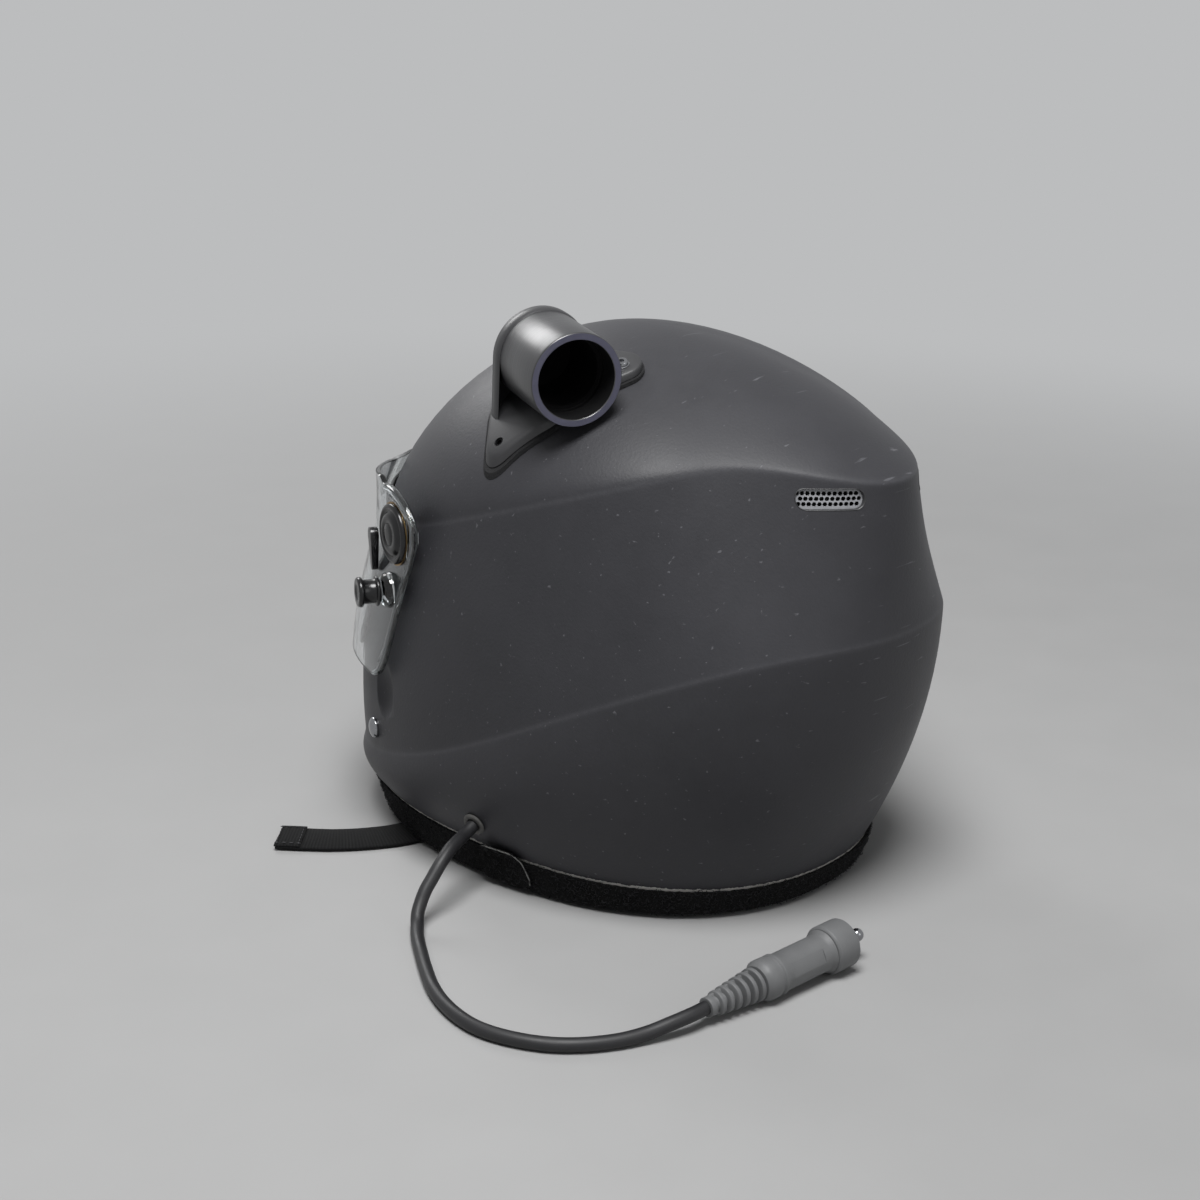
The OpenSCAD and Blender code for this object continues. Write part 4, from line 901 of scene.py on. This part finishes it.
SHIELD_T, SHIELD_GAP, EAR_GAP, PIVOT_Z, PIVOT_FWD = 2.5, 4, 6.5, 172, 54
EAR_MID, EAR_R, EAR_REAR, CORNER_AT, CORNER_Z, BROW_AT = 62, 22, 30, 60, 95, 57
SHIELD_LOW, SHIELD_BROW, BROW_LIFT = 90, 188, 8
ear_reach = EAR_REAR / (float(shell_r(EAR_MID, PIVOT_Z, -EAR_GAP)) * math.pi / 180)
shield_end = EAR_MID + ear_reach - 0.4


def shield_off(a, z):
    """The shield's inner face, as an offset into the shell, so it is below zero."""
    ear = smooth((abs(a) - 36) / 18) * smooth((z - 148) / 14)
    return -(SHIELD_GAP + (EAR_GAP + shell_r(a, PIVOT_Z) - shell_r(a, z) - SHIELD_GAP) * ear)


def shield_edges(a):
    """Heights of the shield's lower and upper edges."""
    a = abs(a)
    tail = (a - CORNER_AT) / (shield_end - CORNER_AT)
    low = SHIELD_LOW + (CORNER_Z - SHIELD_LOW) * float(smooth(a / CORNER_AT))
    if a >= CORNER_AT:
        low = CORNER_Z + (PIVOT_Z - CORNER_Z) * tail - 16 * math.sin(math.pi * min(1, tail / 0.75))
    ear = PIVOT_Z + math.sqrt(max(0, 1 - ((a - EAR_MID) / ear_reach) ** 2)) * EAR_R
    brow = SHIELD_BROW + BROW_LIFT * float(smooth((a - 20) / 25))
    return low, brow + (ear - brow) * float(smooth((a - BROW_AT + 1) / 3))


half = list(np.linspace(0, 54, 28)) + list(np.linspace(54.8, CORNER_AT - 0.8, 8)) + [
    CORNER_AT + (shield_end - CORNER_AT) * (1 - (1 - s) ** 1.6) for s in np.linspace(0, 1, 34)]
up_the_shield = (1 - np.cos(np.linspace(0, math.pi, 31))) / 2
rows = []
for a in [-x for x in half[:0:-1]] + half:
    low, high = shield_edges(a)
    z = low + (high - low) * up_the_shield
    front, rear = on_shell(a, z, shield_off(a, z) - SHIELD_T), on_shell(a, z, shield_off(a, z))
    rim_low, rim_high = (front[0] + rear[0]) / 2 - (0, 0, 0.5), (front[-1] + rear[-1]) / 2 + (0, 0, 0.5)
    rows.append(np.vstack([front, rim_high[None], rear[::-1], rim_low[None]]))
finish(skinned("clear_shield", rows), clear, "shield", ["face_shield"], sharp=60)

# %% [markdown]
# A rib runs round each ear and down its rear edge, and a fine step runs inside it. The rib stiffens
# the ear and catches the light as a bright line. The hinge's cap is a turned disc with two steps
# and a thin metal shim under it.


# %% Ears, caps, posts and lever
def ear_line(sign, low_from, rear_at, high_to, up, down, sunk=0.0):
    """A line on an ear: along its lower edge to the rear, then forwards along its upper edge."""
    line = [(a, shield_edges(a)[0] + up) for a in np.linspace(low_from, rear_at, 40)]
    line += [(a, shield_edges(a)[1] - down) for a in np.linspace(rear_at, high_to, 30)]
    return np.array([on_shell(sign * a, z, shield_off(a, z) - SHIELD_T + sunk) for a, z in line])


ear_face_r = float(shell_r(EAR_MID, PIVOT_Z)) + EAR_GAP
ear_out_x = math.sqrt((ear_face_r + SHIELD_T) ** 2 - PIVOT_FWD ** 2)
EAR_LEAN, POST_AT, POST_Z, POST_LEAN = 70, 65, 143, 60
cap = [(0, 0.5), (15, 0.5), (15, 1.6), (14.6, 2.2), (13.4, 2.7), (12.6, 2.5), (12.1, 1.9), (11.2, 1.9),
       (10.6, 2.6), (9.8, 3.4), (8.6, 3.8), (6, 3.9), (5.6, 3.5), (5.2, 3.9), (2, 4.2), (0, 4.2)]
shim = [(12, 0.1), (15.8, 0.1), (15.8, 0.5), (12, 0.5), (12, 0.1)]
bobbin = [(0, 5.4), (7.1, 5.4), (7.5, 5.8), (7.5, 6.6), (7.1, 7), (6.2, 7.2), (6, 7.6), (6, 12.9),
          (6.2, 13.3), (7.2, 13.6), (7.5, 14), (7.5, 15.4), (6.9, 16), (4, 16), (3.6, 15.6), (0, 15.6)]
boss = [(0, -1), (9, -1), (8.9, 0.6), (8.4, 2), (7.5, 3.2), (6.4, 4.1), (5.4, 4.6), (0, 4.6)]
washer = [(0, 4.6), (5.9, 4.6), (5.9, 5.3), (0, 5.3)]
for side, sign in SIDES:
    rib = ear_line(sign, CORNER_AT + 1, shield_end - 0.8, BROW_AT + 3, 1.2, 1.2, 0.5)
    finish(tube(f"ear_{side}_rib", rib, 1.7, 12), clear, "shield")
    step = ear_line(sign, CORNER_AT + 3, shield_end - 3, BROW_AT + 4, 6, 4.6)
    finish(tube(f"ear_{side}_step", step, 0.6, 8), clear, "shield")
    hinge = np.array((sign * ear_out_x, -PIVOT_FWD, PIVOT_Z)), heading(sign * EAR_LEAN, 0)
    finish(turned(f"hinge_{side}_cap", cap, *hinge, 96), black_plastic, "shield",
           [f"pivot_cap_{side}"], sharp=60)
    finish(turned(f"hinge_{side}_shim", shim, *hinge, 96), tan_ring, "shield")
    from_solid(f"pivot_base_{side}", f"hinge_{side}_base", black_plastic)
    foot = on_shell(sign * POST_AT, POST_Z, shield_off(POST_AT, POST_Z) - SHIELD_T)
    lean = heading(sign * POST_LEAN, 0)
    finish(turned(f"post_{side}", bobbin, foot, lean), black_plastic, "shield",
           [f"tearoff_post_{side}"], sharp=50)
    finish(turned(f"post_{side}_boss", boss, foot, lean), clear, "shield", sharp=70)
    finish(turned(f"post_{side}_washer", washer, foot, lean), rubber, "shield",
           bevel=0.15)
from_solid("shield_lever", "shield_lock_lever", black_plastic, "shield", bevel=0.6)

# %% [markdown]
# The chin screws are domed and polished. The grommet is a soft ring whose lip has pale patches:
# painted highlights along its edges, and wear where the lead rubs.

# %% Chin screws and grommet
dome = [(0, -1), (5.3, -1), (5.5, 0.9)]
dome += [(5.5 * math.cos(t), 0.9 + 2.7 * math.sin(t)) for t in np.linspace(0.1, math.pi / 2, 10)]
for side, sign in SIDES:
    screw = turned(f"chin_{side}_screw", dome, on_shell(sign * 53.3, 60), heading(sign * 63, 0), 48)
    finish(screw, steel, replaces=["chin_screws"] if sign > 0 else ())
GROMMET_AT, GROMMET_AXIS = on_shell(91, 35.5), Vector((0.93, 0.1, -0.33))
lip = [(3.35, -4), (4.25, -4), (4.25, 0.6), (5.7, 0.7), (6.1, 1.1), (5.9, 1.8), (5.2, 2.2), (4.2, 2.3),
       (3.6, 2), (3.35, 1.4), (3.35, -4)]
finish(turned("lead_grommet", lip, GROMMET_AT, GROMMET_AXIS, 64), rubber_worn_and_highlit,
       replaces=["cord_grommet"], sharp=60)


# %% [markdown]
# ## The loop tape
# A knitted tape is bonded round the band. Its surface is uneven, its upper edge is ragged, and a nap
# of tiny loops stands on it. The nap is one small loop, set on the tape's face thousands of times
# by geometry nodes.


# %% Tape and its free end
def ragged_edge(a, size, seed):
    """Three waves round the helmet that never line up."""
    waves = ((0.6, 3.1, 1), (0.4, 7.7, 2), (0.3, 17.3, 3))
    return size * sum(share * math.sin(a * rate + k * seed) for share, rate, k in waves)


TAPE_ROWS, SWELL = 8, 0.25


def tape_rows(angles, low, high, depth, thick):
    out = []
    for a in angles:
        z = np.linspace(low(a), high(a), TAPE_ROWS)
        swell = np.sin(np.linspace(0, math.pi, TAPE_ROWS)) * SWELL
        face = on_shell(a, z, -(depth(a) + thick + swell + 0.12 * np.sin(a * 9 + z * 1.7)))
        out.append(np.vstack([face, on_shell(a, z, -depth(a))[::-1]]))
    return out


tape = skinned("rim_tape", tape_rows(
    np.arange(0, 360, 1), lambda a: RIM_H + 0.3, lambda a: band_z(a) - 0.7 + ragged_edge(a, 0.25, 1),
    lambda a: 0.3, 1.4), looped=True)
finish(tape, loop_tape, replaces=["rim_loop_tape"], sharp=60)
FLAP_FROM, FLAP_TO, FLAP_T = 90, 105, 1.3


def flap_share(a):
    return (a - FLAP_FROM) / (FLAP_TO - FLAP_FROM)


def flap_low(a):
    return RIM_H + 1 + 3 * abs(2 * flap_share(a) - 1) ** 9


def flap_high(a):
    """The free end is cut off on a slant, with a round corner."""
    start, end = max(0, 1 - flap_share(a) / 0.15), max(0, (flap_share(a) - 0.6) / 0.4)
    return band_z(a) + 4 - 7 * start ** 3 - 13 * end ** 2.6 + ragged_edge(a, 0.2, 2)


def flap_depth(a):
    return 2 + 2.2 * (1 - flap_share(a)) ** 2


flap_rows = tape_rows(np.linspace(FLAP_FROM, FLAP_TO, 60), flap_low, flap_high, flap_depth, FLAP_T)
flap = finish(skinned("tape_end", flap_rows), loop_tape, replaces=["tape_flap"], sharp=60)
# A pale line is drawn along the free end's edge
edge = [(a, flap_high(a)) for a in np.linspace(FLAP_FROM + 2, FLAP_TO, 50)]
edge += [(FLAP_TO, z) for z in np.linspace(flap_high(FLAP_TO), flap_low(FLAP_TO), 12)[1:]]
edge = np.array([on_shell(a, z, -flap_depth(a) - FLAP_T - 0.05) for a, z in edge])
finish(tube("tape_end_edge", edge, 0.28, 8), pale_end_line)

# %% [markdown]
# Loops and stitches are one small shape set on many spots. A geometry node tree finds the spots on
# a mesh, sets the shape on each and makes the copies real, because the export drops instances.


# %% Helpers for what grows on a piece
def growth(name, sizes):
    """A geometry node tree with a mesh input and named sizes, and its group inputs."""
    tree = bpy.data.node_groups.new(name, "GeometryNodeTree")
    tree.interface.new_socket("Geometry", in_out="INPUT", socket_type="NodeSocketGeometry")
    for label, value in sizes.items():
        size = tree.interface.new_socket(label, in_out="INPUT", socket_type="NodeSocketFloat")
        size.default_value = value
    tree.interface.new_socket("Geometry", in_out="OUTPUT", socket_type="NodeSocketGeometry")
    return tree, add(tree, "NodeGroupInput").outputs


def set_on(tree, spots, shape, turn, size, material):
    """Sets a shape on every spot, makes it real and gives it its material."""
    placed = add(tree, "GeometryNodeInstanceOnPoints", {
        "Points": spots, "Instance": shape, "Rotation": turn, "Scale": size})
    real = add(tree, "GeometryNodeRealizeInstances", {"Geometry": placed})
    dressed = add(tree, "GeometryNodeSetMaterial", {"Geometry": real, "Material": material})
    add(tree, "NodeGroupOutput", {"Geometry": dressed})


def grown(obj, tree):
    """The object with a geometry node tree applied to it."""
    obj.modifiers.new(tree.name, "NODES").node_group = tree
    return applied(obj)


# %% Nap of the tape
# The loops are a little coarser and stand further apart than real ones, so that they show
nap, given = growth("Loop nap", {
    "Loops for each square metre": 430000.0, "Loop radius": 0.0009, "Fibre radius": 0.00013})
spots = add(nap, "GeometryNodeDistributePointsOnFaces", {
    "Mesh": given["Geometry"], "Density": given["Loops for each square metre"], "Seed": 4})
bow = add(nap, "GeometryNodeCurveArc", {
    "Resolution": 5, "Radius": given["Loop radius"], "Sweep Angle": math.radians(240)})
ring = add(nap, "GeometryNodeCurvePrimitiveCircle", {"Resolution": 3, "Radius": given["Fibre radius"]})
fibres = add(nap, "GeometryNodeCurveToMesh", {"Curve": bow, "Profile Curve": ring})
turn = add(nap, "FunctionNodeRandomValue", {0: (0, 0, 0), 1: (6.28, 6.28, 6.28), "Seed": 7},
           data_type="FLOAT_VECTOR")
size = add(nap, "FunctionNodeRandomValue", {2: 0.5, 3: 1.5, "Seed": 9}, data_type="FLOAT")
set_on(nap, spots, fibres, turn, size, fibre)
for base, name in ((tape, "rim_tape_nap"), (flap, "tape_end_nap")):
    # Only the faces that look away from the helmet have a nap
    work = bmesh.new()
    work.from_mesh(base.data)
    inward = [f for f in work.faces if f.normal.xy.dot(f.calc_center_median().xy) <= 0]
    bmesh.ops.delete(work, geom=inward, context="FACES")
    face_mesh = bpy.data.meshes.new(name)
    work.to_mesh(face_mesh)
    work.free()
    loops = grown(linked(name, face_mesh), nap)
    print(name, "triangles:", sum(len(p.vertices) - 2 for p in loops.data.polygons))
    loops.data.materials.clear()
    loops.data.materials.append(fibre)
    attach(loops, "helmet")


# %% [markdown]
# ## The padding
# The head padding is a quilted shell of brushed knit, the cheek pads are crowned blocks, and the
# neck roll is a soft tube. Each is a closed form whose surface bulges between its seams. Rules give
# better seams here than a cloth simulation, which would iron them out.

# %% Head padding
BROW_Z, EAR_Z, NAPE_Z, HEAD_TOP, HEAD_MID, PAD_T, PAD_BACK = 187, 165, 60, 240, 150, 9, 0.3


def liner_edge(a):
    b = 180 - abs(np.mod(a, 360) - 180)
    return BROW_Z - (BROW_Z - EAR_Z) * smooth((b - 70) / 12) - (EAR_Z - NAPE_Z) * smooth((b - 95) / 50)


def head_r(a, z, off):
    q = np.clip((z - HEAD_MID) / (HEAD_TOP - off - HEAD_MID), 0, 1)
    return (plan(118, 92, 116, 2, 2, a) - off) * np.sqrt(1 - q * q)


def quilt(a, k):
    """How far a point of the padding is sunk by the seams: three across and a fan of them down."""
    down = abs(math.cos(math.radians(a * 3))) ** 14 * float(smooth(k / 0.25))
    across_it = abs(math.cos(math.pi * k * 3)) ** 18 * float(smooth(k / 0.2))
    return 2.6 * max(down, across_it * float(smooth((1 - k) / 0.1)))


steps = np.linspace(0.03, 1, 46)
rows = []
for a in np.arange(0, 360, 2):
    edge = float(liner_edge(a))
    z_in, z_out = [edge + (HEAD_TOP - off - edge) * np.cos(steps * math.pi / 2)
                   for off in (PAD_T, PAD_BACK)]
    # The lower edge is rolled inwards
    inner_r = [head_r(a, z, PAD_T - quilt(a, k)) + 3.2 * max(0, (k - 0.9) / 0.1) ** 2
               for z, k in zip(z_in, steps)]
    rows.append(np.vstack([polar(np.array(inner_r, float), a, z_in),
                           polar(head_r(a, z_out, PAD_BACK), a, z_out)[::-1]]))
head_pad = skinned("head_padding", rows, looped=True)
finish(head_pad, padding, replaces=["comfort_liner"], sharp=80)

# %% Cheek pads and neck roll
PAD_IN, CHEEK_FULL, ROLL_FROM, ROLL_TO = 5.3, 24.5, 66, 294
for side, sign in SIDES:
    rows = []
    for s in np.linspace(0, 1, 41):
        a = 62 + 50 * s
        z, v = np.linspace(40, 118, 31), np.linspace(-1, 1, 31)
        full = (1 - abs(2 * s - 1) ** 4) ** 0.5 * (1 - np.abs(v) ** 5) ** 0.5
        seam = 1 - 0.1 * np.exp(-((v - 0.35) / 0.05) ** 2)
        depth = PAD_IN + 3 + CHEEK_FULL * full * seam
        rows.append(np.vstack([on_shell(sign * a, z, PAD_IN), on_shell(sign * a, z, depth)[::-1]]))
    pad = finish(skinned(f"cheek_{side}_cushion", rows), padding,
                 replaces=[f"cheek_pad_{side}"], sharp=80)
rows = []
for a in np.linspace(ROLL_FROM, ROLL_TO, 150):
    full = 1 - 0.5 * abs((a - ROLL_FROM) / 114 - 1) ** 10
    full *= 1 - 0.035 * abs(math.cos(math.radians(a * 6))) ** 10
    ring = [(0.3, 0.3), (0.3, 20.7)]
    ring += [(21 * (0.45 + 0.55 * math.sin(t)) * full, 10.5 + 10.2 * math.cos(t))
             for t in np.linspace(0, math.pi, 18)[1:-1]] + [(9, 0.3)]
    wall = float(rim_r(a)) - WALL - 0.5
    rows.append([polar(wall - x, a, y) for x, y in ring])
roll_pad = finish(skinned("neck_cushion", rows), roll_cloth, replaces=["neck_roll"], sharp=60)

# %% [markdown]
# ## Straps
# Webbing is flat and firm, so it is a band along its route with rounded edges. Its long end lies
# on the floor and is folded over twice and sewn.

# %% Chin strap
STRAP_W, STRAP_T = 25, 2
LONG_ROUTE = [
    (-109.3, -27, 36, 0, 1), (-105, -27, 30, 0, 1), (-97, -27, 27, 0, 1), (-86, -28, 26, 0, 1),
    (-78, -30, 24, 0.1, 1), (-73, -32, 17, 0.2, 1), (-69, -34, 9, 0.3, 1), (-62, -37, 3, 0.3, 1),
    (-50, -41, 1.4, 0.3, 1), (-20, -48, 1.4, 0.25, 1), (20, -54, 1.4, 0.15, 1), (60, -58, 1.4, 0.2, 1),
    (100, -68, 1.4, 0.4, 0.9), (118, -77, 1.4, 0.55, 0.83), (132, -88, 1.4, 0.66, 0.75),
    (142, -99, 1.5, 0.73, 0.68), (151.5, -110.5, 1.8, 0.77, 0.64)]
SHORT_ROUTE = [(109.3, -27, 36, 0, 1), (105, -27, 30, 0, 1), (97, -27, 27, 0, 1),
               (86, -27, 26.5, 0, 1), (75.5, -27, 26.3, 0, 1)]
HEM_ROUTE = [(143.5, -100.8, 2.9, 0.74, 0.67), (146, -103.8, 3, 0.75, 0.66),
             (149, -107.4, 3, 0.76, 0.65), (151.7, -110.8, 2.9, 0.77, 0.64)]
BAND_SECTION = [(-0.5, 0), (-0.488, 0.35), (-0.46, 0.5), (-0.3, 0.47), (-0.15, 0.5), (0, 0.47),
                (0.15, 0.5), (0.3, 0.47), (0.46, 0.5), (0.488, 0.35), (0.5, 0), (0.488, -0.35),
                (0.46, -0.5), (0, -0.5), (-0.46, -0.5), (-0.488, -0.35)]


def band(name, route, width, thick):
    """A flat band with rounded edges along stations of a point and the way its width points."""
    data = smooth_path(route, 6)
    path, wide = data[:, :3], np.column_stack([data[:, 3:], np.zeros(len(data))])
    along = np.gradient(path, axis=0)
    along /= np.linalg.norm(along, axis=1)[:, None]
    rows = []
    for p, t, w in zip(path, along, wide):
        s = w - t * (w @ t)
        s /= np.linalg.norm(s)
        rows.append([p + s * x * width + np.cross(s, t) * y * thick for x, y in BAND_SECTION])
    run = run_along(path) * MM
    return skinned(name, rows, uv=lambda i, j: (
        run[i], (BAND_SECTION[j % len(BAND_SECTION)][0] + 0.5) * width * MM))


for name, route, width, thick, node in (
        ("strap_long", LONG_ROUTE, STRAP_W, STRAP_T, ["chin_strap_long"]),
        ("strap_hem", HEM_ROUTE, STRAP_W - 0.2, 1.2, ()),
        ("strap_short", SHORT_ROUTE, STRAP_W, STRAP_T, ["chin_strap_short"])):
    finish(band(name, route, width, thick), webbing, replaces=node, sharp=50)
for k, x in enumerate((72, 65)):
    rows = [circle(np.array((x, y, 25)), np.array((1, 0, 0)), np.array((0, 0, 1)), r, 24)
            for y, r in ((-38.2, 1.7), (-38.4, 2.6), (-38, 2.9), (-16, 2.9), (-15.6, 2.6), (-15.8, 1.7))]
    sleeve = skinned(f"ring_sleeve_{k + 1}", rows, looped=True, uv=lambda i, j: (j * 0.0007, i * 0.004))
    finish(sleeve, webbing, sharp=60)

# %% Stitches on the hem
stitching, given = growth("Stitches", {
    "Stitch pitch": 0.0032, "Stitch length": 0.0024, "Thread radius": 0.00035})
seam = add(stitching, "GeometryNodeMeshToCurve", {"Mesh": given["Geometry"]})
spots = add(stitching, "GeometryNodeCurveToPoints", {
    "Curve": seam, "Length": given["Stitch pitch"]}, mode="LENGTH").outputs
grain = add(stitching, "GeometryNodeMeshUVSphere", {
    "Segments": 8, "Rings": 5, "Radius": given["Thread radius"]})
# A stitch is a ball drawn out along its seam
drawn = add(stitching, "ShaderNodeMath", {
    0: given["Stitch length"], 1: given["Thread radius"]}, operation="DIVIDE")
drawn = add(stitching, "ShaderNodeMath", {0: drawn, 1: 0.5}, operation="MULTIPLY")
stretch = add(stitching, "ShaderNodeCombineXYZ", {"X": 1.0, "Y": 1.0, "Z": drawn})
set_on(stitching, spots["Points"], grain, spots["Rotation"], stretch, thread)
SEAM_HALF, SEAM_LIFT = 10, 0.9
seam_side = np.array((0.75, 0.66, 0))
hem_path = smooth_path([station[:3] for station in HEM_ROUTE], 6) + (0, 0, SEAM_LIFT)
seams = [hem_path[2:-1] + seam_side * w for w in (-SEAM_HALF, SEAM_HALF)]
seams += [[hem_path[k] + seam_side * w for w in np.linspace(-SEAM_HALF, SEAM_HALF, 9)]
          for k in (2, len(hem_path) - 2)]
points, edges = [], []
for seam in seams:
    edges += [(len(points) + k, len(points) + k + 1) for k in range(len(seam) - 1)]
    points += list(seam)
stitch_mesh = bpy.data.meshes.new("hem_stitches")
stitch_mesh.from_pydata((np.array(points) * MM).tolist(), edges, [])
finish(grown(linked("hem_stitches", stitch_mesh), stitching), thread, sharp=60)

# %% Hidden parts
from_solid("eps_liner", "impact_liner", bead_foam, sharp=50)
from_solid("chin_bar_foam", "chin_bar_liner", bead_foam, sharp=50)
for side, _ in SIDES:
    from_solid(f"strap_anchor_{side}", f"anchor_{side}", steel, bevel=0.3)
    from_solid(f"ear_speaker_{side}", f"speaker_{side}", open_foam, bevel=0.4)
for place in ("outer", "inner"):
    from_solid(f"d_ring_{place}", f"ring_{place}", steel, f"d_ring_{place}")
from_solid("mic_boom", "microphone_boom", black_plastic, sharp=60)
from_solid("mic_capsule", "microphone_windshield", open_foam, sharp=60)

# %% [markdown]
# ## Floor and light
# A plain pale floor and a large soft light from above, with an even fill from all round. The level
# is set so that a colour renders about as it is written. To the camera, and in metal and glass, the
# floor runs out into an even pale backdrop.

# %% Floor
FLOOR, BACKDROP, FILL = 30, "#bcbdbe", 0.26
floor_mesh = bpy.data.meshes.new("Floor")
corners = [(x * FLOOR, y * FLOOR, 0) for x, y in ((-1, -1), (1, -1), (1, 1), (-1, 1))]
floor_mesh.from_pydata(corners, [], [(0, 1, 2, 3)])
floor_mesh.materials.append(grained("Pale studio floor", "#a0a0a0", "#a8a8a8", 0.9, 3.0, 0.02, patch=60))
linked("Floor", floor_mesh)


def seen(tree):
    """1 for the rays that show the backdrop: camera, glossy and transmission."""
    rays = add(tree, "ShaderNodeLightPath").outputs
    either = add(tree, "ShaderNodeMath", {
        0: rays["Is Camera Ray"], 1: rays["Is Glossy Ray"]}, operation="MAXIMUM")
    return add(tree, "ShaderNodeMath", {0: either, 1: rays["Is Transmission Ray"]}, operation="MAXIMUM")


tree = floor_mesh.materials[0].node_tree
spot = add(tree, "ShaderNodeTexCoord").outputs["Object"]
away = add(tree, "ShaderNodeVectorMath", {0: spot}, operation="LENGTH")
far = add(tree, "ShaderNodeMapRange", {"Value": away, "From Min": 0.35, "From Max": 1.5},
          interpolation_type="SMOOTHSTEP")
share = add(tree, "ShaderNodeMath", {0: far, 1: seen(tree)}, operation="MULTIPLY")
glow = add(tree, "ShaderNodeEmission", {"Color": colour(BACKDROP)})
faded = add(tree, "ShaderNodeMixShader", {0: share, 1: tree.nodes["Principled BSDF"], 2: glow})
feed(tree, tree.nodes["Material Output"], {"Surface": faded})

# %% World and lamps
world = bpy.data.worlds.new("Studio")
scene.world = world
world.use_nodes = True
tree = world.node_tree
level = add(tree, "ShaderNodeMapRange", {"Value": seen(tree), "To Min": FILL, "To Max": 1.0})
feed(tree, tree.nodes["Background"], {"Color": colour(BACKDROP), "Strength": level})
LAMPS_AIM = Vector((0, 0, 0.12))
for name, azimuth, rise, distance, size, power in (
        ("Overhead", 125, 68, 2.0, 1.0, 46), ("Behind", -15, 32, 2.1, 0.9, 12),
        ("Side", 180, 25, 2.3, 1.2, 4)):
    light = bpy.data.lights.new(name, "AREA")
    light.shape, light.size, light.energy = "DISK", size, power
    lamp = linked(name, light)
    towards = heading(azimuth, rise)
    lamp.location = towards * distance + LAMPS_AIM
    lamp.rotation_mode = "QUATERNION"
    lamp.rotation_quaternion = towards.to_track_quat("Z", "Y")
